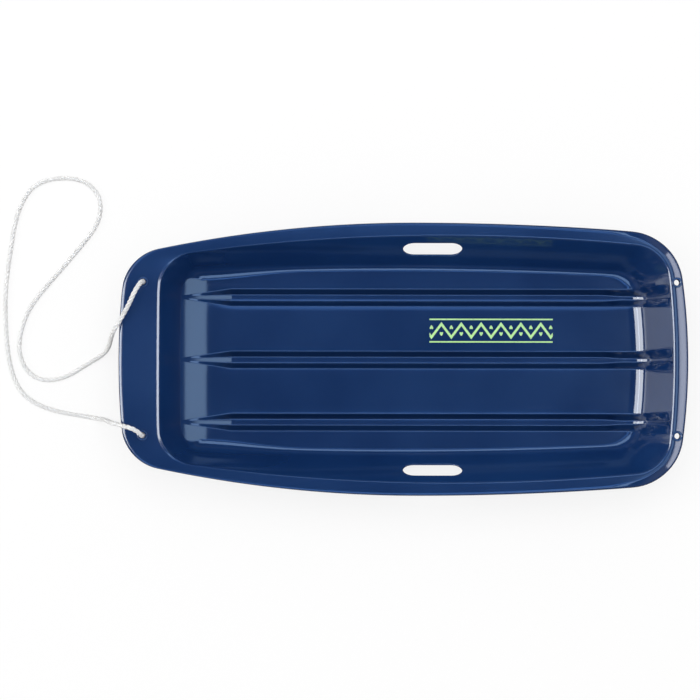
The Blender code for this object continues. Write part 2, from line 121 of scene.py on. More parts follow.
def turn_outwards(piece: bpy.types.Object) -> None:
    """Make the faces of a closed mesh agree and point outwards.

    Args:
        piece: The object, whose mesh is changed.
    """
    bm = bmesh.new()
    bm.from_mesh(piece.data)
    bmesh.ops.recalc_face_normals(bm, faces=bm.faces)
    bm.to_mesh(piece.data)
    bm.free()


@dataclass(frozen=True)
class Outline:
    """Half of an outline seen from above, which is mirrored about y = 0.

    A shallow arc crosses the front, a round corner leads into two side arcs that share their widest
    point, and a second corner leads into a shallow arc across the rear. All sizes are in metres.
    """

    front: float
    rear: float
    half_width: float
    widest_x: float
    front_side: float
    rear_side: float
    front_end: float
    rear_end: float
    front_corner: float
    rear_corner: float
    steps: int = 1200

    def arc(self, centre: Sequence[float], radius: float, first: float, last: float) -> np.ndarray:
        """Points of an arc between two angles: centre plus radius times cosine and sine."""
        angles = np.linspace(first, last, self.steps)
        return np.stack([centre[0] + radius * np.cos(angles), centre[1] + radius * np.sin(angles)], axis=1)

    def end_run(self, end_x: float, end: float, end_angle: float, side: float, corner: float) -> np.ndarray:
        """One end of the outline, from its middle round the corner to where the side arc starts.

        The corner's centre lies one corner radius inside both arcs, where two circles cross.

        Args:
            end_x: Where the end arc's centre lies along X.
            end: Radius of the end arc.
            end_angle: Angle of the end's middle, seen from the end arc's centre.
            side: Radius of the side arc.
            corner: Radius of the corner.

        Returns:
            The points of the run.
        """
        a = np.array([end_x, 0.0])
        b = np.array([self.widest_x, self.half_width - side])
        span = float(np.linalg.norm(b - a))
        reach = ((end - corner) ** 2 - (side - corner) ** 2 + span * span) / (2 * span)
        rise = math.sqrt((end - corner) ** 2 - reach * reach)
        unit = (b - a) / span
        normal = np.array([-unit[1], unit[0]])
        centre = max((a + reach * unit + s * rise * normal for s in (1, -1)), key=lambda p: p[1])
        leave = math.atan2(centre[1] - a[1], centre[0] - a[0])
        join = math.atan2(centre[1] - b[1], centre[0] - b[0])
        first = self.arc(a, end, end_angle, leave)
        return np.concatenate([first, self.arc(centre, corner, leave, join)[1:]])

    def nose(self) -> np.ndarray:
        """The front end's run."""
        return self.end_run(self.front + self.front_end, self.front_end, math.pi, self.front_side,
                            self.front_corner)

    def tail(self) -> np.ndarray:
        """The rear end's run."""
        return self.end_run(self.rear - self.rear_end, self.rear_end, 0.0, self.rear_side, self.rear_corner)

    def flank(self) -> np.ndarray:
        """The side, from the end of the nose to the end of the tail.

        Returns:
            The points of both side arcs.
        """
        runs = []
        for side, point in ((self.front_side, self.nose()[-1]), (self.rear_side, self.tail()[-1])):
            centre = (self.widest_x, self.half_width - side)
            angle = math.atan2(point[1] - centre[1], point[0] - centre[0])
            runs.append(self.arc(centre, side, angle, math.pi / 2))
        return np.concatenate([runs[0], runs[1][::-1][1:]])

    def across(self, run: np.ndarray, y: np.ndarray) -> np.ndarray:
        """Points of an end's run at given y, on both sides of the middle."""
        return np.stack([np.interp(np.abs(y), run[:, 1], run[:, 0]), y], axis=1)

    def side_points(self, split: float, corner: np.ndarray, flank: np.ndarray) -> np.ndarray:
        """Points round one side, from the split at the front to the split at the rear.

        Args:
            split: The y where the side starts.
            corner: Shares of each corner's length, from 0 to 1.
            flank: Shares of the flank's length, from 0 to 1.

        Returns:
            The points, the two ends included.
        """
        parts = []
        for run, start_y, shares in ((self.nose(), split, corner), (self.flank(), None, flank),
                                     (self.tail(), split, corner)):
            lengths = running_length(run)
            start = 0.0 if start_y is None else float(np.interp(start_y, run[:, 1], lengths))
            parts.append(along(run, lengths, start + (lengths[-1] - start) * shares))
        return np.concatenate([parts[0], parts[1][1:], parts[2][::-1][1:]])


@dataclass(frozen=True)
class Section:
    """The hull's wall in section: lip, flange, rim, wall and the round foot that meets the floor.

    A low ridge runs along the front rim. Each cut is how far the rounding of a corner reaches along
    its legs. The rear's flange droops more than the side's. The foot is broad near the front corners
    and at the rear, and sharp at the front, where the x part of a section's inward direction lies
    from front_from to front_to. All sizes are in metres.
    """

    rim_z: float = 0.088
    floor_z: float = 0.0115
    lip_height: float = 0.006
    lip_flare: float = 0.0011
    rim_cut: float = 0.0030
    ridge_rim_cut: float = 0.0010
    ridge_width: float = 0.0036
    ridge_height: float = 0.00112
    ridge_cut: float = 0.0005
    lip_cut: float = 0.0030
    droop_cut: float = 0.0015
    foot_cut_side: float = 0.0085
    foot_cut_front: float = 0.0005
    foot_cut_rear: float = 0.0160
    foot_rear_from: float = 0.300
    foot_rear_to: float = 0.350
    ridge_from: float = 0.322
    ridge_to: float = 0.350
    foot_cut_corner: float = 0.0200
    corner_from: float = 0.150
    corner_to: float = 0.310
    front_from: float = 0.80
    front_to: float = 0.99
    droop_side: float = 0.0050
    droop_side_slope: float = math.tan(math.radians(3))
    rear_flat: float = 0.0065
    droop_rear_slope: float = math.tan(math.radians(39))
    droop_start_x: float = 0.300
    droop_full_x: float = 0.385
    ramp_end_x: float = -0.272
    ramp_radius: float = 0.200
    round_steps: tuple[int, ...] = (6, 5, 3, 8, 14)
    wall_rows: int = 16

    def ramp_lift(self, x: np.ndarray) -> np.ndarray:
        """Height of the floor above its flat part: R - sqrt(R^2 - d^2), d the way past the ramp's end."""
        run = np.clip(self.ramp_end_x - x, 0.0, None)
        return self.ramp_radius - np.sqrt(self.ramp_radius ** 2 - run ** 2)

    def ramp_slope(self, x: np.ndarray) -> np.ndarray:
        """Rise of the ramp for each metre towards the front, which is the derivative of its lift."""
        run = np.clip(self.ramp_end_x - x, 0.0, None)
        return run / np.sqrt(self.ramp_radius ** 2 - run ** 2)

    def corners(self, lip: np.ndarray, rim: np.ndarray, foot: np.ndarray) -> list[np.ndarray]:
        """Corner points of every section, from the lip's lower edge to the edge of the floor.

        Args:
            lip: Plan points of the lip.
            rim: Plan points of the rim.
            foot: Plan points of the wall's foot.

        Returns:
            Seven arrays of points, one point in each for every section.
        """
        outward = unit_rows(lip - rim)
        inward = unit_rows(foot - rim)
        rear = smooth_step(lip[:, 0], self.droop_start_x, self.droop_full_x)
        whole = np.linalg.norm(lip - rim, axis=1) - self.lip_flare - self.rear_flat
        droop = self.droop_side + (whole - self.droop_side) * rear
        slope = self.droop_side_slope + (self.droop_rear_slope - self.droop_side_slope) * rear
        shoulder = self.rim_z - droop * slope
        cut = self.foot_cut_side + (self.foot_cut_rear - self.foot_cut_side) * smooth_step(
            foot[:, 0], self.foot_rear_from, self.foot_rear_to)
        cut = cut + (self.foot_cut_corner - cut) * smooth_step(-foot[:, 0], self.corner_from, self.corner_to)
        cut = cut + (self.foot_cut_front - cut) * smooth_step(inward[:, 0], self.front_from, self.front_to)
        edge = foot + inward * cut[:, None]
        edge_z = self.floor_z + self.ramp_lift(edge[:, 0])
        foot_z = edge_z + self.ramp_slope(edge[:, 0]) * (edge[:, 0] - foot[:, 0])
        flat = np.full(len(lip), self.rim_z)
        ridge = smooth_step(-rim[:, 0], self.ridge_from, self.ridge_to)
        plans = (lip, lip - outward * self.lip_flare, lip - outward * (self.lip_flare + droop)[:, None],
                 rim + outward * self.ridge_width, rim, foot, edge)
        ridge_z = flat + self.ridge_height * ridge
        heights = (shoulder - self.lip_height, shoulder, flat, flat, ridge_z, foot_z, edge_z)
        return [np.concatenate([plan, z[:, None]], axis=1) for plan, z in zip(plans, heights)]

    def surface(self, corners: list[np.ndarray]) -> tuple[np.ndarray, np.ndarray, int]:
        """The wall's upper skin as rows of points, with the tangent down each section.

        Each inner corner is rounded by the quadratic (1-t)^2 A + 2t(1-t) C + t^2 B, where C is the
        corner and A and B lie one cut away from it on its two legs. The straight of the wall is
        divided evenly.

        Args:
            corners: What corners() returns.

        Returns:
            The points, the unit tangents, and the row where the wall starts below the rim.
        """
        floor_leg = np.linalg.norm(corners[6] - corners[5], axis=1)[:, None]
        ridge = smooth_step(-corners[4][:, 0], self.ridge_from, self.ridge_to)[:, None]
        rim_cut = self.rim_cut + (self.ridge_rim_cut - self.rim_cut) * ridge
        cuts = (self.lip_cut, self.droop_cut, self.ridge_cut, rim_cut, floor_leg)
        points = [corners[0][None]]
        tangents = [unit_rows(corners[1] - corners[0])[None]]
        wall_row = 0
        for i, (cut, steps) in enumerate(zip(cuts, self.round_steps), start=1):
            start = corners[i] + unit_rows(corners[i - 1] - corners[i]) * cut
            end = corners[i] + unit_rows(corners[i + 1] - corners[i]) * cut
            if i == len(cuts):
                share = np.linspace(0, 1, self.wall_rows + 2)[1:-1, None, None]
                top, down = points[-1][-1], tangents[-1][-1]
                wall_row = sum(len(p) for p in points) - 1
                points.append(top + (start - top) * share)
                tangents.append(np.broadcast_to(down, points[-1].shape))
            t = np.linspace(0, 1, steps + 1)[:, None, None]
            points.append((1 - t) ** 2 * start + 2 * t * (1 - t) * corners[i] + t * t * end)
            tangents.append(unit_rows((1 - t) * (corners[i] - start) + t * (end - corners[i])))
        return np.concatenate(points), np.concatenate(tangents), wall_row


@dataclass(frozen=True)
class Channels:
    """The three channels in the floor, which are the runners when seen from below.

    Each starts on the ramp as a narrow wedge, is full from full_x on, and its flat narrows again
    from rear_from to the rear wall, up which it climbs. All sizes are in metres.
    """

    centres: tuple[float, ...] = (-0.094, 0.0, 0.094)
    half_top: float = 0.0128
    half_flat: float = 0.0050
    half_front: float = 0.0026
    flat_front: float = 0.0007
    flat_rear: float = 0.0030
    rear_from: float = 0.300
    half_rim: float = 0.0170
    flat_rim: float = 0.0035
    start_x: float = -0.334
    full_x: float = -0.258
    depth: float = 0.009
    rounding: float = 0.15
    climb: float = 3.0
    deepening: float = 1.8
    split: float = 0.1114
    edge_steps: int = 5
    panel_steps: int = 7

    def columns(self) -> np.ndarray:
        """Every column of the hull's middle, from one split to the other.

        Across one side of a channel, the place runs from 1 at the floor to 0 at the channel's flat.
        Both edges are rounded over r: place 1 + r - 2rt with depth r t^2 at the floor, and place
        r - 2rt with depth 1 - r (1-t)^2 at the flat.

        Returns:
            Rows of base y, share of the channel's half width at the floor, share of its half width
            at the flat, and share of its depth.
        """
        t = np.linspace(0, 1, self.edge_steps + 1)
        r = self.rounding
        place = np.concatenate([1 + r - 2 * r * t, [0.5], r - 2 * r * t])
        share = np.concatenate([r * t * t, [0.5], 1 - r * (1 - t) ** 2])
        side = np.concatenate([-np.ones_like(place), np.ones_like(place)])
        place = np.concatenate([place, place[::-1]])
        share = np.concatenate([share, share[::-1]])
        rows = [np.array([[-self.split, 0, 0, 0]])]
        for centre, after in zip(self.centres, (*self.centres[1:], None)):
            rows.append(np.stack([np.full_like(place, centre), side * place, side * (1 - place), share], 1))
            if after is not None:
                edges = (centre + self.half_top * (1 + r), after - self.half_top * (1 + r))
                panel = np.linspace(*edges, self.panel_steps + 1)[1:-1]
                rows.append(np.stack([panel, 0 * panel, 0 * panel, 0 * panel], 1))
        rows.append(np.array([[self.split, 0, 0, 0]]))
        return np.concatenate(rows)

    def widths(self, columns: np.ndarray, share: float | np.ndarray, rear: float | np.ndarray = 0.0
               ) -> np.ndarray:
        """The y of every column, at a share of the way to full width and of the rear narrowing.

        Args:
            columns: What columns() returns.
            share: 0 at the front wedge, 1 at full width.
            rear: 0 at full width, 1 where the flat is narrow at the rear wall.

        Returns:
            The y of every column.
        """
        half_top = self.half_front + (self.half_top - self.half_front) * share
        half_flat = self.flat_front + (self.half_flat - self.flat_front) * share
        half_flat = half_flat - (self.half_flat - self.flat_rear) * rear
        return columns[:, 0] + columns[:, 1] * half_top + columns[:, 2] * half_flat

    def depth_at(self, x: np.ndarray) -> np.ndarray:
        """Depth under the floor, which grows as t^deepening from start_x to full_x."""
        share = np.clip((x - self.start_x) / (self.full_x - self.start_x), 0.0, 1.0)
        return self.depth * share ** self.deepening


@dataclass(frozen=True)
class RopeEye:
    """A moulded ring round a hole for the rope, turned about an upright axis."""

    x: float
    y: float
    bottom: float
    top: float
    radius: float = 0.0078
    hole: float = 0.0043
    edge: float = 0.0014
    flare_end: float = math.radians(80)
    past_flare: float = 0.001
    edge_steps: int = 8
    steps: int = 48

    def turned(self, profile: np.ndarray) -> Solid:
        """A closed solid: each profile point (radius, z) carried round the axis, with a face at each end.

        Args:
            profile: Rows of (radius, z) from the bottom up.

        Returns:
            Vertices and faces of the solid.
        """
        angle = np.arange(self.steps) * 2 * math.pi / self.steps
        ring = np.stack([np.cos(angle), np.sin(angle)], axis=1)
        plan = profile[:, None, :1] * ring + (self.x, self.y)
        heights = np.broadcast_to(profile[:, None, 1:], (*plan.shape[:2], 1))
        index = np.arange(len(profile) * self.steps).reshape(len(profile), self.steps)
        faces = grid_faces(np.concatenate([index, index[:, :1]], axis=1))
        faces += [index[0].tolist(), index[-1][::-1].tolist()]
        return np.concatenate([plan, heights], axis=2).reshape(-1, 3), faces

    def ring(self) -> Solid:
        """The ring before its hole is cut: an upright bar whose top edge is a quarter circle.

        Returns:
            Vertices and faces of the bar.
        """
        a = np.linspace(0, math.pi / 2, self.edge_steps)
        rounded = np.stack([self.radius - self.edge * (1 - np.cos(a)),
                            self.top - self.edge * (1 - np.sin(a))], axis=1)
        return self.turned(np.concatenate([[[self.radius, self.bottom]], rounded]))

    def bore(self, under: float) -> Solid:
        """The hole: a bar that flares by a quarter circle at the ring's top.

        Args:
            under: How far the bar reaches under the ring.

        Returns:
            Vertices and faces of the bar.
        """
        a = np.linspace(0, self.flare_end, self.edge_steps)
        flare = np.stack([self.hole + self.edge * (1 - np.cos(a)),
                          self.top - self.edge * (1 - np.sin(a))], axis=1)
        end = flare[-1] + self.past_flare
        return self.turned(np.concatenate([[[self.hole, self.bottom - under]], flare, [end]]))


@dataclass(frozen=True)
class HandSlot:
    """A hand slot with round ends, cut square through one side wall, its edges softened."""

    side: int
    x: float = 0.044
    z: float = 0.0545
    length: float = 0.088
    width: float = 0.034
    edge: float = 0.0009
    edge_end: float = math.radians(78)
    reach: float = 0.010
    edge_steps: int = 7
    end_steps: int = 20

    def bar(self, rim_y: float, foot_y: float, top_z: float, floor_z: float, wall: float) -> Solid:
        """The bar that cuts the slot.

        Its outline is two half circles joined by straights. Along the wall's normal the outline
        grows by a quarter circle at each face of the wall, then by one for one outside it.

        Args:
            rim_y: Half width of the rim at the slot.
            foot_y: Half width of the wall's foot at the slot.
            top_z: Height of the rim.
            floor_z: Height of the floor.
            wall: Thickness of the wall.

        Returns:
            Vertices and faces of the bar.
        """
        lean = math.atan2(top_z - floor_z, rim_y - foot_y)
        outward = np.array([0.0, self.side * math.sin(lean), -math.cos(lean)])
        up = np.array([0.0, self.side * math.cos(lean), math.sin(lean)])
        middle_y = rim_y - (top_z - self.z) / math.tan(lean)
        middle = np.array([self.x, self.side * middle_y, self.z]) + outward * wall / 2
        a = np.linspace(0, self.edge_end, self.edge_steps)
        depth = wall / 2 - self.edge * (1 - np.sin(a))
        grow = self.edge * (1 - np.cos(a))
        depth = np.append(depth, depth[-1] + self.reach)
        grow = np.append(grow, grow[-1] + self.reach)
        depth = np.concatenate([-depth[::-1], depth])[:, None]
        grow = np.concatenate([grow[::-1], grow])[:, None]
        turn = np.linspace(-math.pi / 2, math.pi / 2, self.end_steps + 1)
        turn = np.concatenate([turn, turn + math.pi])
        end = np.repeat([1, -1], self.end_steps + 1) * (self.length - self.width) / 2
        radius = self.width / 2 + grow
        right = end + radius * np.cos(turn)
        rise = radius * np.sin(turn)
        points = middle + right[..., None] * np.array([1.0, 0.0, 0.0]) + rise[..., None] * up
        points = points + depth[..., None] * outward
        index = np.arange(points.shape[0] * points.shape[1]).reshape(points.shape[:2])
        faces = grid_faces(np.concatenate([index, index[:, :1]], axis=1))
        return points.reshape(-1, 3), faces + [index[0].tolist(), index[-1][::-1].tolist()]


@dataclass(frozen=True)
class Hull:
    """The one-piece shell: a skin that gets its thickness, its rope eyes and its openings."""

    lip: Outline = Outline(-0.4202, 0.4220, 0.2014, 0.0175, 1.85, 4.18, 1.11, 0.86, 0.068, 0.082)
    rim: Outline = Outline(-0.3595, 0.398, 0.1815, 0.060, 2.75, 3.00, 9.0, 1.20, 0.055, 0.055)
    foot: Outline = Outline(-0.3345, 0.3613, 0.141, -0.020, 6.0, 7.0, 4.0, 0.75, 0.036, 0.040)
    section: Section = Section()
    channels: Channels = Channels()
    wall: float = 0.0025
    corner_steps: int = 16
    ramp_share: float = 0.10
    ramp_steps: int = 24
    flank_steps: int = 56
    strip_steps: int = 4
    eye_y: float = 0.113
    front_eye_x: float = -0.384
    rear_eye_x: float = 0.4025
    eye_rise: float = 0.0012
    front_eye_drop: float = 0.0010
    rear_eye_drop: float = 0.0100
    sharp_angle: float = math.radians(40)

    def loops(self) -> list[np.ndarray]:
        """Plan points of lip, rim and foot for every section, in one loop round the hull.

        The loop runs across the front from -Y to +Y, along the +Y side to the rear, back across
        the rear, and along the -Y side to the front.

        Returns:
            Three arrays of plan points, for lip, rim and foot.
        """
        columns = self.channels.columns()
        front_y = self.channels.widths(columns, 0.0)
        rear_y = self.channels.widths(columns, 1.0, 1.0)[::-1]
        corner = np.linspace(0, 1, self.corner_steps + 1)
        flank = np.concatenate([np.linspace(0, self.ramp_share, self.ramp_steps + 1)[:-1],
                                np.linspace(self.ramp_share, 1, self.flank_steps + 1)])
        loops = []
        for outline in (self.lip, self.rim, self.foot):
            side = outline.side_points(self.channels.split, corner, flank)[1:-1]
            loops.append(np.concatenate([outline.across(outline.nose(), front_y), side,
                                         outline.across(outline.tail(), rear_y), (side * (1, -1))[::-1]]))
        return loops

    def carve(self, points: np.ndarray, tangents: np.ndarray, wall_row: int, rear: int) -> None:
        """Carry the channels into the foot of the ramp and up the rear wall, where they end at the rim.

        A column's point moves by the channel's depth: straight down at the front, and square to
        the section at the rear, where the depth falls as 1 - height^climb.

        Args:
            points: Rows of points from the lip to the floor's edge, which are changed.
            tangents: Their tangents down each section.
            wall_row: The row where the wall starts below the rim.
            rear: The section where the rear's columns start.
        """
        columns = self.channels.columns()
        count = len(columns)
        front = points[:, :count]
        front[..., 2] -= self.channels.depth_at(front[..., 0]) * columns[:, 3]
        backwards = columns[::-1]
        wall = points[wall_row:, rear:rear + count]
        slope = tangents[wall_row:, rear:rear + count]
        height = (wall[..., 2] - self.section.floor_z) / (self.section.rim_z - self.section.floor_z)
        height = np.clip(height, 0.0, 1.0)
        down = np.stack([-slope[..., 2], np.zeros_like(height), slope[..., 0]], axis=-1)
        depth = self.channels.depth * (1 - height ** self.channels.climb) * backwards[:, 3]
        wall += down * depth[..., None]
        spread = backwards[:, 1] * (self.channels.half_rim - self.channels.half_top)
        narrowing = backwards[:, 2] * (self.channels.flat_rim - self.channels.flat_rear)
        wall[..., 1] += (spread + narrowing) * height

    def middle_of_floor(self, front: np.ndarray, rear: np.ndarray, t: np.ndarray) -> np.ndarray:
        """The floor between the splits: z = floor + ramp's lift - channel's depth, over x and columns.

        Args:
            front: Points of the floor's front edge, one for each column.
            rear: Points of its rear edge.
            t: Share of the way from front to rear, one for each row.

        Returns:
            Rows of points.
        """
        columns = self.channels.columns()
        x = front[:, 0] + (rear[:, 0] - front[:, 0]) * t[:, None]
        share = np.clip((x - front[:, 0]) / (self.channels.full_x - front[:, 0]), 0.0, 1.0)
        rear_share = smooth_step(x, self.channels.rear_from, rear[0, 0])
        y = self.channels.widths(columns, share, rear_share)
        z = self.section.floor_z + self.section.ramp_lift(x) - self.channels.depth_at(x) * columns[:, 3]
        return np.stack([x, y, z], axis=-1)

    def strip_of_floor(self, edge: np.ndarray, side: int) -> np.ndarray:
        """The floor beside the splits, in straight rows from the split to the wall's foot.

        Args:
            edge: Points of the wall's foot along this side.
            side: 1 for +Y, -1 for -Y.

        Returns:
            Rows of points between the split and the foot.
        """
        share = np.linspace(0, 1, self.strip_steps + 1)[1:-1]
        split = side * self.channels.split
        y = split + (edge[:, 1:2] - split) * share
        x = np.broadcast_to(edge[:, :1], y.shape)
        return np.stack([x, y, self.section.floor_z + self.section.ramp_lift(x)], axis=-1)

    def skin(self) -> Solid:
        """Vertices and faces of the upper skin: the ring of sections and the floor inside it.

        Returns:
            The skin's vertices and faces.
        """
        sections, tangents, wall_row = self.section.surface(self.section.corners(*self.loops()))
        count = len(self.channels.columns())
        rear = count + 2 * self.corner_steps + self.ramp_steps + self.flank_steps - 1
        self.carve(sections, tangents, wall_row, rear)
        ring = np.arange(sections.shape[0] * sections.shape[1]).reshape(sections.shape[:2])
        points = sections.reshape(-1, 3)
        left = ring[-1, count - 1:rear + 1]
        right = np.concatenate([ring[-1, :1], ring[-1, rear + count - 1:][::-1]])
        x = points[left, 0]
        t = ((x - x[0]) / (x[-1] - x[0]))[1:-1]
        front_edge, rear_edge = ring[-1, :count], ring[-1, rear:rear + count][::-1]
        patches = [
            self.strip_of_floor(points[right[1:-1]], -1)[:, ::-1],
            self.middle_of_floor(points[front_edge], points[rear_edge], t),
            self.strip_of_floor(points[left[1:-1]], 1),
        ]
        sizes = [patch.shape[1] for patch in patches]
        inner = np.concatenate(patches, axis=1)
        inner_index = len(points) + np.arange(inner.shape[0] * inner.shape[1]).reshape(inner.shape[:2])
        index = np.concatenate([right[1:-1, None], inner_index, left[1:-1, None]], axis=1)
        ends = [np.concatenate([np.full(sizes[0] + 1, edge[0]), edge, np.full(sizes[2] + 1, edge[-1])])
                for edge in (front_edge, rear_edge)]
        index = np.vstack([ends[0], index, ends[1]])
        faces = grid_faces(np.concatenate([ring, ring[:, :1]], axis=1)) + grid_faces(index)
        return np.concatenate([points, inner.reshape(-1, 3)]), faces

    def eyes(self) -> list[RopeEye]:
        """The four rope eyes.

        Returns:
            A front and a rear eye for each side.
        """
        places = []
        for side in (1, -1):
            top = self.section.rim_z + self.eye_rise
            front_bottom = self.section.rim_z - self.wall - self.front_eye_drop
            rear_bottom = self.section.rim_z - self.rear_eye_drop
            places.append(RopeEye(self.front_eye_x, side * self.eye_y, front_bottom, top))
            places.append(RopeEye(self.rear_eye_x, side * self.eye_y, rear_bottom, top))
        return places

    def guide(self, name: str, parts: Iterable[Solid]) -> bpy.types.Object:
        """Several closed solids as one object that works on the hull and isn't part of it.

        Args:
            name: The object's name.
            parts: Vertices and faces of each solid.

        Returns:
            The object, which is removed when the hull is done.
        """
        vertices, faces, start = [], [], 0
        for points, cells in parts:
            vertices.append(points)
            faces += [[number + start for number in cell] for cell in cells]
            start += len(points)
        piece = new_piece(name, np.concatenate(vertices), faces)
        turn_outwards(piece)
        return piece

    def build(self) -> bpy.types.Object:
        """The finished shell as one mesh.

        Returns:
            The hull's object.
        """
        points, faces = self.skin()
        hull = new_piece("hull_shell", points, faces)
        turn_outwards(hull)
        if sum(polygon.normal.z for polygon in hull.data.polygons) < 0:
            hull.data.flip_normals()
        thickness = hull.modifiers.new("thickness", "SOLIDIFY")
        thickness.thickness = self.wall
        thickness.offset = -1.0
        thickness.use_even_offset = True
        slots = [HandSlot(side).bar(self.rim.half_width, self.foot.half_width, self.section.rim_z,
                                    self.section.floor_z, self.wall) for side in (1, -1)]
        rings = self.guide("eye_rings", [eye.ring() for eye in self.eyes()])
        cuts = self.guide("openings", [eye.bore(self.wall) for eye in self.eyes()] + slots)
        for name, operation, other in (("eyes", "UNION", rings), ("openings", "DIFFERENCE", cuts)):
            step = hull.modifiers.new(name, "BOOLEAN")
            step.operation = operation
            step.object = other
        graph = bpy.context.evaluated_depsgraph_get()
        finished = bpy.data.meshes.new_from_object(hull.evaluated_get(graph))
        hull.modifiers.clear()
        hull.data = finished
        for guide in (rings, cuts):
            bpy.data.objects.remove(guide, do_unlink=True)
        finished.shade_smooth()
        finished.set_sharp_from_angle(angle=self.sharp_angle)
        return hull


def smooth_curve(route: np.ndarray, steps: int = 60) -> np.ndarray:
    """A natural cubic curve through a route.

    The knots lie apart by the square root of each straight's length, and the bend at each knot solves
    one set of linear equations.

    Args:
        route: The points to pass through.
        steps: Points on each span.

    Returns:
        Close points along the curve.
    """
    gaps = np.linalg.norm(np.diff(route, axis=0), axis=1) ** 0.5
    inner = np.arange(1, len(route) - 1)
    matrix = np.eye(len(route))
    matrix[inner, inner - 1] = gaps[:-1]
    matrix[inner, inner] = 2 * (gaps[:-1] + gaps[1:])
    matrix[inner, inner + 1] = gaps[1:]
    rise = np.diff(route, axis=0) / gaps[:, None]
    right = np.zeros_like(route)
    right[1:-1] = 6 * np.diff(rise, axis=0)
    bend = np.linalg.solve(matrix, right)
    h = gaps[:, None, None]
    t = np.linspace(0, 1, steps, endpoint=False)[None, :, None] * h
    s = h - t
    here, there = route[:-1, None], route[1:, None]
    bend_here, bend_there = bend[:-1, None], bend[1:, None]
    value = (bend_here * s ** 3 + bend_there * t ** 3) / (6 * h)
    value += (here / h - bend_here * h / 6) * s + (there / h - bend_there * h / 6) * t
    return np.concatenate([value.reshape(-1, 3), route[-1:]])


@dataclass(frozen=True)
class TwistedRope:
    """Three strands laid round each other along a line."""

    diameter: float = 0.0070
    lay: float = 0.0225
    strands: int = 3
    strand_share: float = 0.54
    ring_gap: float = 0.0010
    sides: int = 12
    end_taper: float = 0.0
    start_guide: tuple[float, float, float] = (0.3, 1.0, 0.2)
    sharp_angle: float = math.radians(60)

    def frames(self, line: np.ndarray) -> tuple[np.ndarray, np.ndarray]:
        """Two directions square to a line and to each other, carried along it without twisting.

        Each ring's normal is the one before it, less its part along the new tangent.

        Args:
            line: Close points of a line.

        Returns:
            The normals and the binormals, one for each point.
        """
        tangents = unit_rows(np.gradient(line, axis=0))
        normals = np.zeros_like(line)
        normal = np.cross(tangents[0], self.start_guide)
        for i, tangent in enumerate(tangents):
            normal = normal - tangent * (normal @ tangent)
            normal = normal / np.linalg.norm(normal)
            normals[i] = normal
        return normals, np.cross(tangents, normals)

    def mesh(self, line: np.ndarray) -> tuple[np.ndarray, list[list[int]], np.ndarray]:
        """The strands' surfaces.

        A strand's centre turns round the line once in each lay, at radius c. Its ring of radius r
        lies square to the strand, with c + r half the rope's diameter.

        Args:
            line: Close points of the rope's centre line.

        Returns:
            Vertices, faces, and for each vertex (share round the strand, metres along it).
        """
        lengths = running_length(line)
        at = np.linspace(0.0, lengths[-1], int(lengths[-1] / self.ring_gap) + 2)
        line = along(line, lengths, at)
        normal, binormal = self.frames(line)
        strand_radius = self.diameter / 2 * self.strand_share
        offset = self.diameter / 2 - strand_radius
        thin = 1 - self.end_taper * smooth_step(at, at[-1] - self.diameter / 2, at[-1])
        turn = 2 * math.pi * (at / self.lay)
        angle = np.linspace(0, 2 * math.pi, self.sides + 1)
        points, faces, marks = [], [], []
        for strand in range(self.strands):
            phase = turn + 2 * math.pi * strand / self.strands
            out = np.cos(phase)[:, None] * normal + np.sin(phase)[:, None] * binormal
            centre = line + out * (offset * thin)[:, None]
            tangent = unit_rows(np.gradient(centre, axis=0))
            side = unit_rows(np.cross(tangent, out))
            out = np.cross(side, tangent)
            ring = np.cos(angle)[:, None, None] * out + np.sin(angle)[:, None, None] * side
            surface = centre + ring * (strand_radius * thin)[None, :, None]
            surface = surface.transpose(1, 0, 2)
            index = np.arange(surface.shape[0] * self.sides).reshape(-1, self.sides)
            index = index + sum(len(p) for p in points)
            closed = np.concatenate([index, index[:, :1]], axis=1)
            points.append(surface[:, :-1].reshape(-1, 3))
            around = angle[None, :-1] / (2 * math.pi)
            marks.append(np.stack(np.broadcast_arrays(around, at[:, None]), axis=-1).reshape(-1, 2))
            faces += grid_faces(closed) + [index[0].tolist(), index[-1][::-1].tolist()]
        return np.concatenate(points), faces, np.concatenate(marks)

    def piece(self, name: str, line: np.ndarray) -> bpy.types.Object:
        """The rope as an object, with its fibres' direction in a UV map named fibres.

        Args:
            name: The object's name.
            line: Close points of its centre line.

        Returns:
            The object.
        """
        points, faces, marks = self.mesh(line)
        rope = new_piece(name, points, faces)
        turn_outwards(rope)
        loops = np.zeros(len(rope.data.loops), dtype=np.int32)
        rope.data.loops.foreach_get("vertex_index", loops)
        layer = rope.data.uv_layers.new(name="fibres")
        layer.data.foreach_set("uv", marks[loops].astype(np.float32).ravel())
        rope.data.set_sharp_from_angle(angle=self.sharp_angle)
        return rope


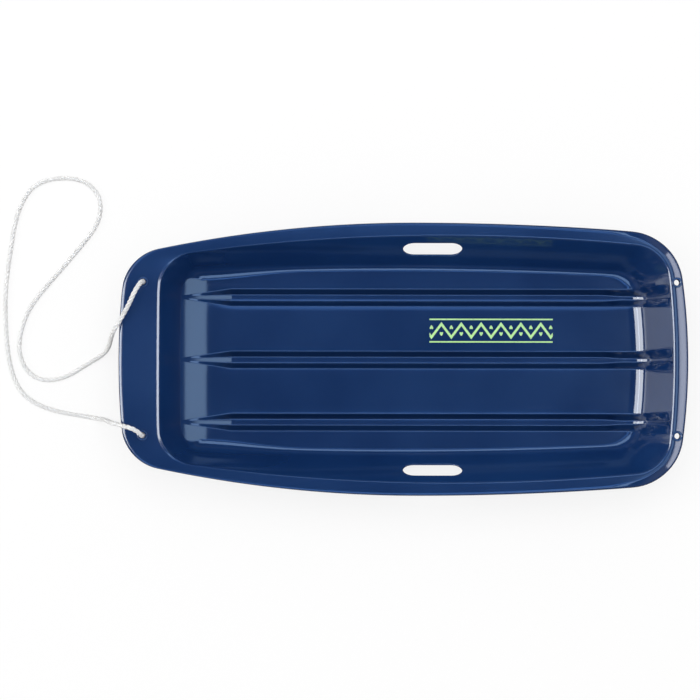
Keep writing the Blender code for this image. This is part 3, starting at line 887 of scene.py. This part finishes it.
@dataclass(frozen=True)
class TowRope:
    """The tow rope: up out of the left eye, over the lip, round two loops, and back into the right eye."""

    rope: TwistedRope = TwistedRope()
    rest_z: float = 0.0036
    path_step: int = 6
    route_mm: tuple[tuple[float, float, float], ...] = (
        (-384, 113, 84.5), (-384, 113, 92), (-384.2, 112.7, 99.5), (-386.5, 109, 108), (-391.5, 101, 112.5),
        (-398, 89, 109), (-404.5, 77, 101), (-411, 66, 96.5), (-417.5, 55, 95.5), (-424, 45, 92),
        (-429, 37.5, 82), (-433, 31.5, 66), (-437, 25.5, 46), (-442, 18.5, 24), (-450, 10, 8.5),
        (-463, 1, 3.7), (-481, -10, 3.5), (-505, -24, 3.5), (-533, -31, 3.5), (-560, -23, 3.5),
        (-577, 4, 3.5), (-578, 34, 3.5), (-565, 74, 3.5), (-540, 109, 3.5), (-510, 144, 3.5),
        (-480, 180, 3.5), (-460, 213, 3.5), (-461, 248, 3.5), (-484, 270, 3.5), (-520, 274.7, 3.5),
        (-558, 262, 3.5), (-582, 222, 3.5), (-592, 172, 3.5), (-599.6, 111, 3.5), (-599.6, 49, 3.5),
        (-593, -6, 3.5), (-574, -50, 3.5), (-535, -74, 3.5), (-490, -84, 3.5), (-466, -88, 4.5),
        (-452, -90, 14), (-444, -91.5, 34), (-437.5, -93, 58), (-430.5, -94.5, 80), (-420, -96.5, 98),
        (-406, -100, 111.4), (-394.5, -104, 112.2), (-387.3, -109.2, 107.6), (-384.2, -112.7, 99.5),
        (-384, -113, 92), (-384, -113, 84.5),
    )

    def line(self) -> np.ndarray:
        """The rope's centre line, which never dips under its rest height.

        Returns:
            Close points along the rope.
        """
        curve = smooth_curve(np.array(self.route_mm) * MM)
        curve[:, 2] = np.maximum(curve[:, 2], self.rest_z)
        return curve

    def build(self) -> bpy.types.Object:
        """The rope's mesh."""
        return self.rope.piece("tow_rope_strands", self.line())

    def declare(self) -> None:
        """Hide the rope's plain solid.
        """
        line = self.line()
        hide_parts("tow_rope")


@dataclass(frozen=True)
class StopperKnot:
    """An overhand knot under a front eye, with its tail hanging from it."""

    name: str
    x: float
    y: float
    top_z: float = 0.0842
    height: float = 0.0200
    turn_radius: float = 0.0050
    swing: float = 0.0024
    rise: float = 0.0052
    tail: float = 0.0160
    lead: float = 0.004
    knot_steps: int = 240
    lead_steps: int = 30
    rope: TwistedRope = TwistedRope(diameter=0.0058, lay=0.0190, ring_gap=0.0007, end_taper=0.3)

    def line(self) -> np.ndarray:
        """The knot's centre line.

        The knot is part of the curve r = R + a cos 3s, angle = 2s, z = b sin 3s, from the top of one
        turn to the bottom of another. A cubic leads into it from the eye, and one leads out of it
        into the straight tail.

        Returns:
            Close points along the knot and its tail.
        """
        s = np.linspace(math.pi / 6, 11 * math.pi / 6, self.knot_steps)
        radius = self.turn_radius + self.swing * np.cos(3 * s)
        knot = np.stack([radius * np.cos(2 * s), radius * np.sin(2 * s), self.rise * np.sin(3 * s)], axis=1)
        t = np.linspace(0, 1, self.lead_steps)[:-1, None]
        half, lead = self.height / 2, self.lead
        first, last = unit_rows(knot[1] - knot[0]), unit_rows(knot[-1] - knot[-2])
        enter = self.cubic(np.array([0, 0, half]), np.array([0, 0, half - lead]),
                           knot[0] - first * lead, knot[0], t)
        leave = self.cubic(np.array([0, 0, -half]), np.array([0, 0, lead - half]),
                           knot[-1] + last * lead, knot[-1], t)[::-1]
        end = np.array([[0, 0, -half - self.tail]])
        return np.concatenate([enter, knot, leave, end]) + (self.x, self.y, self.top_z - half)

    def cubic(self, a: np.ndarray, b: np.ndarray, c: np.ndarray, d: np.ndarray, t: np.ndarray) -> np.ndarray:
        """Points of the cubic curve that leaves a towards b and reaches d from c."""
        s = 1 - t
        return a * s ** 3 + 3 * b * s * s * t + 3 * c * s * t * t + d * t ** 3

    def build(self) -> bpy.types.Object:
        """The knot's mesh, in the place of its plain solid.

        Returns:
            The knot's object.
        """
        piece = self.rope.piece(f"{self.name}_strands", self.line())
        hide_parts(self.name)
        return piece


# What a socket takes: a number, a colour or vector, or another node's output.
Value = float | Sequence[float] | bpy.types.NodeSocket


class NodeSheet:
    """Adds nodes to one tree and joins them."""

    def __init__(self, tree: bpy.types.NodeTree) -> None:
        """Work on this tree."""
        self.tree = tree

    def add(self, kind: str, **settings: object) -> bpy.types.Node:
        """A new node with these settings.

        Args:
            kind: The node's type.
            **settings: Its properties by name.

        Returns:
            The node.
        """
        node = self.tree.nodes.new(kind)
        for name, value in settings.items():
            setattr(node, name, value)
        return node

    def feed(self, socket: bpy.types.NodeSocket, value: Value) -> None:
        """Join a socket to another one, or set its value.

        Args:
            socket: The input.
            value: What it takes.
        """
        if isinstance(value, bpy.types.NodeSocket):
            self.tree.links.new(value, socket)
        else:
            socket.default_value = value

    def math(self, operation: str, *values: Value, clamp: bool = False) -> bpy.types.NodeSocket:
        """The result of one Math node.

        Args:
            operation: The node's operation.
            *values: Its inputs in order.
            clamp: Whether the result is held between 0 and 1.

        Returns:
            The result.
        """
        node = self.add("ShaderNodeMath", operation=operation, use_clamp=clamp)
        for socket, value in zip(node.inputs, values):
            self.feed(socket, value)
        return node.outputs[0]

    def remap(self, value: Value, low: Value, high: Value, start: float = 0.0, end: float = 1.0
              ) -> bpy.types.NodeSocket:
        """A value carried from low..high to start..end, and held there.

        Args:
            value: The value to carry.
            low: Where the first range starts.
            high: Where it ends.
            start: The result at low.
            end: The result at high.

        Returns:
            The carried value.
        """
        node = self.add("ShaderNodeMapRange", clamp=True)
        for name, given in (("Value", value), ("From Min", low), ("From Max", high), ("To Min", start),
                            ("To Max", end)):
            self.feed(node.inputs[name], given)
        return node.outputs["Result"]

    def mix(self, share: Value, first: Value, second: Value) -> bpy.types.NodeSocket:
        """A colour between two others.

        Args:
            share: 0 for the first colour, 1 for the second.
            first: A colour.
            second: Another colour.

        Returns:
            The colour.
        """
        node = self.add("ShaderNodeMix", data_type="RGBA")
        for index, given in ((0, share), (6, first), (7, second)):
            self.feed(node.inputs[index], given)
        return node.outputs[2]

    def scaled(self, vector: Value, scale: Sequence[Value]) -> bpy.types.NodeSocket:
        """A vector multiplied axis by axis.

        Args:
            vector: The vector.
            scale: A factor for each axis.

        Returns:
            The scaled vector.
        """
        parts = self.add("ShaderNodeCombineXYZ")
        for socket, given in zip(parts.inputs, scale):
            self.feed(socket, given)
        node = self.add("ShaderNodeVectorMath", operation="MULTIPLY")
        self.feed(node.inputs[0], vector)
        self.feed(node.inputs[1], parts.outputs[0])
        return node.outputs[0]

    def noise(self, vector: Value, scale: Value, detail: float = 2.0) -> bpy.types.NodeSocket:
        """A noise from 0 to 1.

        Args:
            vector: Where it is read.
            scale: Waves to a metre.
            detail: How many finer waves are added.

        Returns:
            The noise.
        """
        node = self.add("ShaderNodeTexNoise")
        self.feed(node.inputs["Vector"], vector)
        self.feed(node.inputs["Scale"], scale)
        node.inputs["Detail"].default_value = detail
        return node.outputs[0]

    def group(self, tree: bpy.types.NodeTree, output: str, **values: Value) -> bpy.types.NodeSocket:
        """An output of a node group that is placed here with its own values.

        Args:
            tree: The node group.
            output: The name of its output.
            **values: Its inputs by name.

        Returns:
            The output.
        """
        node = self.add("ShaderNodeGroup", node_tree=tree)
        for name, given in values.items():
            self.feed(node.inputs[name], given)
        return node.outputs[output]


class Effect:
    """A node group with named sockets that any finish can place."""

    def __init__(self, name: str, inputs: dict[str, float | None], output: str) -> None:
        """Make the empty group. An input without a number is a vector.

        Args:
            name: The group's name.
            inputs: The inputs' names and numbers.
            output: The output's name.
        """
        self.tree = bpy.data.node_groups.new(name, "ShaderNodeTree")
        for label, value in inputs.items():
            kind = "NodeSocketVector" if value is None else "NodeSocketFloat"
            socket = self.tree.interface.new_socket(label, in_out="INPUT", socket_type=kind)
            if value is not None:
                socket.default_value = value
        self.tree.interface.new_socket(output, in_out="OUTPUT", socket_type="NodeSocketFloat")
        self.sheet = NodeSheet(self.tree)
        self.inputs = self.sheet.add("NodeGroupInput").outputs
        self.output = self.sheet.add("NodeGroupOutput").inputs[output]

    def put_out(self, value: bpy.types.NodeSocket) -> bpy.types.NodeTree:
        """Join the group's output and return the group."""
        self.sheet.feed(self.output, value)
        return self.tree


def make_clouds() -> bpy.types.NodeTree:
    """Soft patches from 0 to 1, for colour and gloss that vary over a surface.

    Returns:
        The group.
    """
    effect = Effect("clouds", {"Vector": None, "Scale": 6.0, "Low": 0.35, "High": 0.65}, "Patches")
    noise = effect.sheet.noise(effect.inputs["Vector"], effect.inputs["Scale"], detail=3.0)
    return effect.put_out(effect.sheet.remap(noise, effect.inputs["Low"], effect.inputs["High"]))


def make_fine_lines() -> bpy.types.NodeTree:
    """Fine lines that run along X: a noise stretched that way, from Low to High.

    Returns:
        The group.
    """
    inputs = {"Vector": None, "Along": 8.0, "Across": 400.0, "Low": 0.55, "High": 0.75}
    effect = Effect("fine_lines", inputs, "Lines")
    sheet, given = effect.sheet, effect.inputs
    stretched = sheet.scaled(given["Vector"], (given["Along"], given["Across"], given["Across"]))
    return effect.put_out(sheet.remap(sheet.noise(stretched, 1.0, detail=4.0), given["Low"], given["High"]))


def make_zigzag_band() -> bpy.types.NodeTree:
    """A printed band between two lines: a zigzag with a dot in each of its hollows.

    The zigzag's height is a triangle wave of u. A point is in the print where its distance to the
    zigzag, to a border line or to a dot is under half a line, and it lies within the band's length.

    Returns:
        The group.
    """
    inputs = {"Vector": None, "Centre X": 0.0, "Centre Y": 0.0, "Length": 0.18, "Pitch": 0.03, "Rise": 0.01,
              "Border": 0.017, "Line": 0.0018, "Dot": 0.0026}
    border_share, hollow_share = 0.6, 0.55
    effect = Effect("zigzag_band", inputs, "Print")
    sheet, given = effect.sheet, effect.inputs
    split = sheet.add("ShaderNodeSeparateXYZ")
    sheet.feed(split.inputs[0], given["Vector"])
    u = sheet.math("SUBTRACT", split.outputs["X"], given["Centre X"])
    v = sheet.math("SUBTRACT", split.outputs["Y"], given["Centre Y"])
    half_pitch = sheet.math("MULTIPLY", given["Pitch"], 0.5)
    wave = sheet.math("DIVIDE", sheet.math("PINGPONG", u, half_pitch), half_pitch)
    wave = sheet.math("MULTIPLY", sheet.math("MULTIPLY_ADD", wave, 2.0, -1.0), given["Rise"])
    steep = sheet.math("DIVIDE", sheet.math("MULTIPLY", given["Rise"], 2.0), half_pitch)
    steep = sheet.math("SQRT", sheet.math("MULTIPLY_ADD", steep, steep, 1.0))
    off_wave = sheet.math("DIVIDE", sheet.math("ABSOLUTE", sheet.math("SUBTRACT", v, wave)), steep)
    zigzag = sheet.math("LESS_THAN", off_wave, given["Line"])
    off_border = sheet.math("ABSOLUTE", sheet.math("SUBTRACT", sheet.math("ABSOLUTE", v), given["Border"]))
    border = sheet.math("LESS_THAN", off_border, sheet.math("MULTIPLY", given["Line"], border_share))
    dot_u = sheet.math("PINGPONG", u, sheet.math("MULTIPLY", half_pitch, 0.5))
    dot_v = sheet.math("MULTIPLY_ADD", wave, hollow_share, v)
    off_dot = sheet.math("MULTIPLY_ADD", dot_u, dot_u, sheet.math("MULTIPLY", dot_v, dot_v))
    off_dot = sheet.math("SQRT", off_dot)
    dots = sheet.math("LESS_THAN", off_dot, given["Dot"])
    inside = sheet.math("LESS_THAN", sheet.math("ABSOLUTE", u), sheet.math("MULTIPLY", given["Length"], 0.5))
    marks = sheet.math("MAXIMUM", sheet.math("MAXIMUM", zigzag, border), dots)
    return effect.put_out(sheet.math("MULTIPLY", marks, inside))


@dataclass(frozen=True)
class Effects:
    """The node groups that the finishes share."""

    clouds: bpy.types.NodeTree
    fine_lines: bpy.types.NodeTree
    zigzag_band: bpy.types.NodeTree


def new_material(name: str) -> tuple[bpy.types.Material, NodeSheet, bpy.types.Node]:
    """A material, a sheet on its nodes, and its shader.

    Args:
        name: The material's name.

    Returns:
        The material, the sheet and the shader.
    """
    material = bpy.data.materials.new(name)
    material.use_nodes = True
    return material, NodeSheet(material.node_tree), material.node_tree.nodes["Principled BSDF"]


@dataclass(frozen=True)
class MouldedPlastic:
    """Glossy blue moulded plastic with a printed band, fine scratches, and scuffed runners.

    The steep sides of the channels get painted shade: their colour is mixed part of the way to black. Heights
    are above the ground, and a facing is one part of the surface's direction, from -1 to 1.
    """

    colour: tuple[float, ...] = (0.0072, 0.0335, 0.123, 1.0)
    deep_colour: tuple[float, ...] = (0.0052, 0.0265, 0.104, 1.0)
    ink: tuple[float, ...] = (0.46, 0.78, 0.27, 1.0)
    scuff_colour: tuple[float, ...] = (0.10, 0.15, 0.26, 1.0)
    roughness: float = 0.085
    scratch_roughness: float = 0.10
    scuff_roughness: float = 0.35
    ink_roughness: float = 0.22
    patch_roughness: float = 0.02
    patch_scale: float = 7.0
    ground_height: float = 0.0005
    runner_height: float = 0.006
    floor_height: float = 0.0118
    # Painted shade on the channels' steep sides: how far their colour is mixed towards black, and the height
    # over which it fades in.
    painted_shade_share: float = 0.50
    painted_shade_fade: float = 0.002
    steep_facing: tuple[float, float] = (0.45, 0.72)
    under_facing: tuple[float, float] = (-0.1, -0.4)
    print_facing: float = 0.5
    wear_scale: float = 900.0
    wear_range: tuple[float, float] = (0.28, 0.36)
    print_centre: tuple[float, float] = (0.134, 0.0445)
    print_length: float = 0.186
    wave_scale: float = 14.0
    wave_depth: float = 0.00010
    peel_scale: float = 420.0
    peel_depth: float = 0.0000015
    scratch_depth: float = 0.000004

    def make(self, effects: Effects) -> bpy.types.Material:
        """The material, on Object coordinates.

        Args:
            effects: The shared node groups.

        Returns:
            The material.
        """
        material, sheet, shader = new_material("blue_moulded_plastic")
        place = sheet.add("ShaderNodeTexCoord").outputs["Object"]
        patches = sheet.group(effects.clouds, "Patches", Vector=place, Scale=self.patch_scale)
        scratches = sheet.group(effects.fine_lines, "Lines", Vector=place, Along=6.0, Across=260.0, Low=0.64,
                                High=0.80)
        rubs = sheet.group(effects.fine_lines, "Lines", Vector=place, Along=9.0, Across=420.0, Low=0.46,
                           High=0.66)
        band = sheet.group(effects.zigzag_band, "Print", Vector=place,
                           **{"Centre X": self.print_centre[0], "Centre Y": self.print_centre[1],
                              "Length": self.print_length})
        worn = sheet.remap(sheet.noise(place, self.wear_scale), *self.wear_range)
        split = sheet.add("ShaderNodeSeparateXYZ")
        sheet.feed(split.inputs[0], place)
        height = split.outputs["Z"]
        facing = sheet.add("ShaderNodeSeparateXYZ")
        sheet.feed(facing.inputs[0], sheet.add("ShaderNodeNewGeometry").outputs["True Normal"])
        printed = sheet.math("MULTIPLY", sheet.math("MULTIPLY", band, worn),
                             sheet.math("GREATER_THAN", facing.outputs["Z"], self.print_facing))
        scuffs = sheet.math("MULTIPLY", rubs, sheet.remap(height, self.runner_height, self.ground_height))
        scuffs = sheet.math("MULTIPLY", scuffs, sheet.remap(facing.outputs["Z"], *self.under_facing))
        colour = sheet.mix(patches, self.deep_colour, self.colour)
        # Painted shade: the channels' steep sides below the floor's height are mixed part of the way to
        # black.
        steep = sheet.remap(sheet.math("ABSOLUTE", facing.outputs["Y"]), *self.steep_facing)
        painted_shade = sheet.remap(height, self.floor_height, self.floor_height - self.painted_shade_fade)
        painted_shade = sheet.math("MULTIPLY", sheet.math("MULTIPLY", steep, painted_shade), self.painted_shade_share)
        colour = sheet.mix(painted_shade, colour, (0.0, 0.0, 0.0, 1.0))
        colour = sheet.mix(scuffs, colour, self.scuff_colour)
        sheet.feed(shader.inputs["Base Color"], sheet.mix(printed, colour, self.ink))
        rough = sheet.math("MULTIPLY_ADD", scratches, self.scratch_roughness, self.roughness)
        rough = sheet.math("MULTIPLY_ADD", patches, self.patch_roughness, rough)
        rough = sheet.math("MULTIPLY_ADD", scuffs, self.scuff_roughness, rough)
        sheet.feed(shader.inputs["Roughness"], sheet.math("MULTIPLY_ADD", printed, self.ink_roughness, rough))
        wave = sheet.math("MULTIPLY", sheet.noise(place, self.wave_scale, detail=1.0), self.wave_depth)
        peel = sheet.math("MULTIPLY_ADD", sheet.noise(place, self.peel_scale), self.peel_depth, wave)
        bump = sheet.add("ShaderNodeBump")
        bump.inputs["Distance"].default_value = 1.0
        sheet.feed(bump.inputs["Height"], sheet.math("MULTIPLY_ADD", scratches, -self.scratch_depth, peel))
        sheet.feed(shader.inputs["Normal"], bump.outputs[0])
        return material


@dataclass(frozen=True)
class RopeFibre:
    """White twisted rope: fine fibres that lie across each strand, with a faint soiling."""

    colour: tuple[float, ...] = (0.85, 0.84, 0.82, 1.0)
    shade: tuple[float, ...] = (0.66, 0.65, 0.63, 1.0)
    roughness: float = 0.67
    fibre_gloss: float = 0.10
    fibre_share: float = 0.55
    soil_share: float = 0.18
    sheen: float = 0.15
    strand_girth: float = 0.0115
    fibre_angle: float = math.radians(32)
    fibre_depth: float = 0.00022

    def make(self, effects: Effects) -> bpy.types.Material:
        """The material, on the map of each strand.

        Args:
            effects: The shared node groups.

        Returns:
            The material.
        """
        material, sheet, shader = new_material("white_rope_fibre")
        marks = sheet.add("ShaderNodeUVMap", uv_map="fibres").outputs[0]
        place = sheet.add("ShaderNodeTexCoord").outputs["Object"]
        flat = sheet.scaled(marks, (self.strand_girth, 1.0, 0.0))
        turned = sheet.add("ShaderNodeVectorRotate", rotation_type="Z_AXIS")
        sheet.feed(turned.inputs["Vector"], flat)
        turned.inputs["Angle"].default_value = math.pi / 2 + self.fibre_angle
        fibres = sheet.group(effects.fine_lines, "Lines", Vector=turned.outputs[0], Along=140.0,
                             Across=2600.0, Low=0.30, High=0.70)
        soil = sheet.group(effects.clouds, "Patches", Vector=place, Scale=30.0, Low=0.40, High=0.75)
        share = sheet.math("MULTIPLY_ADD", fibres, self.fibre_share, 1 - self.fibre_share)
        share = sheet.math("MULTIPLY_ADD", soil, -self.soil_share, share, clamp=True)
        sheet.feed(shader.inputs["Base Color"], sheet.mix(share, self.shade, self.colour))
        rough = sheet.math("MULTIPLY_ADD", fibres, -self.fibre_gloss, self.roughness)
        sheet.feed(shader.inputs["Roughness"], rough)
        bump = sheet.add("ShaderNodeBump")
        bump.inputs["Distance"].default_value = 1.0
        sheet.feed(bump.inputs["Height"], sheet.math("MULTIPLY", fibres, self.fibre_depth))
        sheet.feed(shader.inputs["Normal"], bump.outputs[0])
        shader.inputs["Sheen Weight"].default_value = self.sheen
        return material


class SeenBy(Enum):
    """Which light a softbox gives: the soft light on a surface, or its reflection in gloss."""

    SURFACES = "diffuse"
    GLOSS = "glossy"


@dataclass(frozen=True)
class Softbox:
    """A rectangular lamp that aims at a point, as bright as its radiance says."""

    name: str
    seen_by: SeenBy
    centre: tuple[float, float, float]
    size: tuple[float, float]
    radiance: float
    colour: tuple[float, float, float] = (1.0, 1.0, 1.0)
    aim: tuple[float, float, float] = (0.0, 0.0, 0.05)

    def build(self) -> None:
        """Place the lamp. Its width lies level, square to its aim, or along X where it aims straight down."""
        data = bpy.data.lights.new(self.name, "AREA")
        data.shape = "RECTANGLE"
        data.size, data.size_y = self.size
        data.energy = self.radiance * 4 * self.size[0] * self.size[1]
        data.color = self.colour
        lamp = bpy.data.objects.new(self.name, data)
        back = unit_rows(np.array(self.centre) - np.array(self.aim))
        straight_down = abs(back[2]) > 0.999
        level = unit_rows(np.cross((0.0, 1.0, 0.0) if straight_down else (0.0, 0.0, 1.0), back))
        rise = np.cross(back, level)
        matrix = np.eye(4)
        matrix[:3, 0], matrix[:3, 1], matrix[:3, 2], matrix[:3, 3] = level, rise, back, self.centre
        lamp.matrix_world = Matrix(matrix.tolist())
        lamp.visible_camera = False
        lamp.visible_glossy = self.seen_by is SeenBy.GLOSS
        lamp.visible_diffuse = self.seen_by is SeenBy.SURFACES
        bpy.context.collection.objects.link(lamp)


@dataclass(frozen=True)
class Studio:
    """A pale floor, a pale surround, soft lamps, and cards that only the gloss sees."""

    floor_size: float = 30.0
    floor_colour: tuple[float, ...] = (0.95, 0.95, 0.95, 1.0)
    floor_glow: float = 0.81
    floor_gloss_share: float = 0.13
    horizon: float = 0.50
    overhead: float = 0.05
    fill: float = 0.54
    horizon_top: float = 0.05
    overhead_from: float = 0.45
    softboxes: tuple[Softbox, ...] = (
        Softbox("top_light", SeenBy.SURFACES, (0.15, 1.0, 3.6), (3.4, 3.2), 1.5),
        Softbox("tow_end_light", SeenBy.SURFACES, (-3.2, 0.4, 2.6), (2.0, 2.0), 1.7),
        Softbox("ramp_card", SeenBy.GLOSS, (20.2, 1.4, 60.0), (21.0, 12.0), 2.4, (0.66, 1.0, 1.42),
                (20.2, 1.4, 0.0)),
        Softbox("tow_end_card", SeenBy.GLOSS, (-2.53, 0.0, 2.2), (1.4, 4.1), 9.8, (0.96, 1.0, 1.02)),
        Softbox("rear_card", SeenBy.GLOSS, (8.0, 0.0, 0.45), (12.0, 0.9), 4.3, (0.92, 0.97, 1.1)),
        Softbox("ridge_card", SeenBy.GLOSS, (-2.53, 0.0, 2.58), (2.6, 0.26), 9.0, (0.92, 1.0, 1.15)),
        Softbox("left_card", SeenBy.GLOSS, (3.0, 5.0, 8.7), (18.0, 3.5), 2.6, (0.62, 1.0, 1.6),
                (3.0, 0.0, 0.05)),
        Softbox("right_card", SeenBy.GLOSS, (3.0, -5.0, 8.7), (18.0, 3.5), 2.6, (0.62, 1.0, 1.6),
                (3.0, 0.0, 0.05)),
        Softbox("left_flange_card", SeenBy.GLOSS, (0.0, 1.8, 9.85), (6.0, 1.1), 1.1, (0.4, 1.0, 2.6)),
        Softbox("right_flange_card", SeenBy.GLOSS, (0.0, -1.8, 9.85), (6.0, 1.1), 1.6, (0.4, 1.0, 2.6)),
    )

    def build_floor(self) -> None:
        """The floor: matt, with a glow that only the camera sees, and dim in reflections."""
        half = self.floor_size / 2
        corners = np.array([[-half, -half, 0], [half, -half, 0], [half, half, 0], [-half, half, 0]])
        floor = new_piece("studio_floor", corners, [[0, 1, 2, 3]])
        material, sheet, shader = new_material("pale_floor")
        path = sheet.add("ShaderNodeLightPath")
        plain = sheet.add("ShaderNodeBsdfDiffuse")
        dim = tuple(self.floor_gloss_share * value for value in self.floor_colour[:3]) + (1.0,)
        sheet.feed(plain.inputs["Color"], sheet.mix(path.outputs["Is Glossy Ray"], self.floor_colour, dim))
        glow = sheet.add("ShaderNodeEmission")
        glow.inputs["Strength"].default_value = 1.0
        blend = sheet.add("ShaderNodeMixShader")
        sheet.feed(blend.inputs[0], sheet.math("MULTIPLY", path.outputs["Is Camera Ray"], self.floor_glow))
        sheet.feed(blend.inputs[1], plain.outputs[0])
        sheet.feed(blend.inputs[2], glow.outputs[0])
        output = material.node_tree.nodes["Material Output"]
        sheet.feed(output.inputs["Surface"], blend.outputs[0])
        material.node_tree.nodes.remove(shader)
        floor.data.materials.append(material)

    def build_surround(self) -> None:
        """The world: white to the camera, and to everything else pale at the horizon and dim above."""
        world = bpy.data.worlds.new("studio_surround")
        world.use_nodes = True
        bpy.context.scene.world = world
        sheet = NodeSheet(world.node_tree)
        world.node_tree.nodes.clear()
        path = sheet.add("ShaderNodeLightPath")
        direction = sheet.add("ShaderNodeSeparateXYZ")
        sheet.feed(direction.inputs[0], sheet.add("ShaderNodeTexCoord").outputs["Generated"])
        level = sheet.remap(direction.outputs["Z"], self.horizon_top, self.overhead_from, self.horizon,
                            self.overhead)
        level = sheet.math("ADD", level, sheet.math("MULTIPLY", path.outputs["Is Diffuse Ray"], self.fill))
        strength = sheet.math("MAXIMUM", level, path.outputs["Is Camera Ray"])
        strength = sheet.math("MINIMUM", strength, 1.0)
        background = sheet.add("ShaderNodeBackground")
        sheet.feed(background.inputs["Strength"], strength)
        background.inputs["Color"].default_value = (1.0, 1.0, 1.0, 1.0)
        output = sheet.add("ShaderNodeOutputWorld")
        sheet.feed(output.inputs["Surface"], background.outputs[0])

    def build(self) -> None:
        """The floor, the surround and the lamps."""
        self.build_floor()
        self.build_surround()
        for softbox in self.softboxes:
            softbox.build()
        bpy.context.scene.view_settings.view_transform = "Standard"


@dataclass(frozen=True)
class Viewpoint:
    """The photograph's camera: almost straight above, with the tow end to the left."""

    target: tuple[float, float, float] = (-0.0789, 0.0129, 0.088)
    distance: float = 3.0
    lean: float = math.radians(1.53)
    roll: float = math.radians(0.087)
    view_width: float = 1.030
    sensor: float = 36.0

    def build(self) -> None:
        """Place the camera. Its picture's up is +Y."""
        data = bpy.data.cameras.new("photo_camera")
        data.sensor_width = self.sensor
        data.lens = self.sensor * self.distance / self.view_width
        camera = bpy.data.objects.new("photo_camera", data)
        back, up = self.distance * math.sin(self.lean), self.distance * math.cos(self.lean)
        camera.location = (self.target[0], self.target[1] - back, self.target[2] + up)
        camera.matrix_world = (Matrix.Translation(camera.location) @ Matrix.Rotation(self.lean, 4, "X")
                               @ Matrix.Rotation(self.roll, 4, "Z"))
        bpy.context.collection.objects.link(camera)
        bpy.context.scene.camera = camera


def dress(piece: bpy.types.Object, material: bpy.types.Material) -> None:
    """Give a piece its material and slot, and make it ride on the toboggan's body.

    Args:
        piece: The object.
        material: Its finish.
    """
    piece.data.materials.clear()
    piece.data.materials.append(material)
    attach(piece, BODY)
    log.info("%s: %d faces", piece.name, len(piece.data.polygons))


def main() -> None:
    """Build the toboggan piece by piece."""
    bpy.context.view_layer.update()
    Viewpoint().build()
    effects = Effects(make_clouds(), make_fine_lines(), make_zigzag_band())
    fibre = RopeFibre().make(effects)
    plastic = MouldedPlastic().make(effects)

    tow_rope = TowRope()
    rope = tow_rope.build()
    dress(rope, fibre)
    hull_form = Hull()
    for name, side in (("knot_left", 1), ("knot_right", -1)):
        knot = StopperKnot(name, hull_form.front_eye_x, side * hull_form.eye_y).build()
        dress(knot, fibre)
    tow_rope.declare()

    hull = hull_form.build()
    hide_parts("hull")
    dress(hull, plastic)
    Studio().build()


if __name__ == "__main__":
    logging.basicConfig(level=logging.INFO, format="%(name)s: %(message)s")
    main()
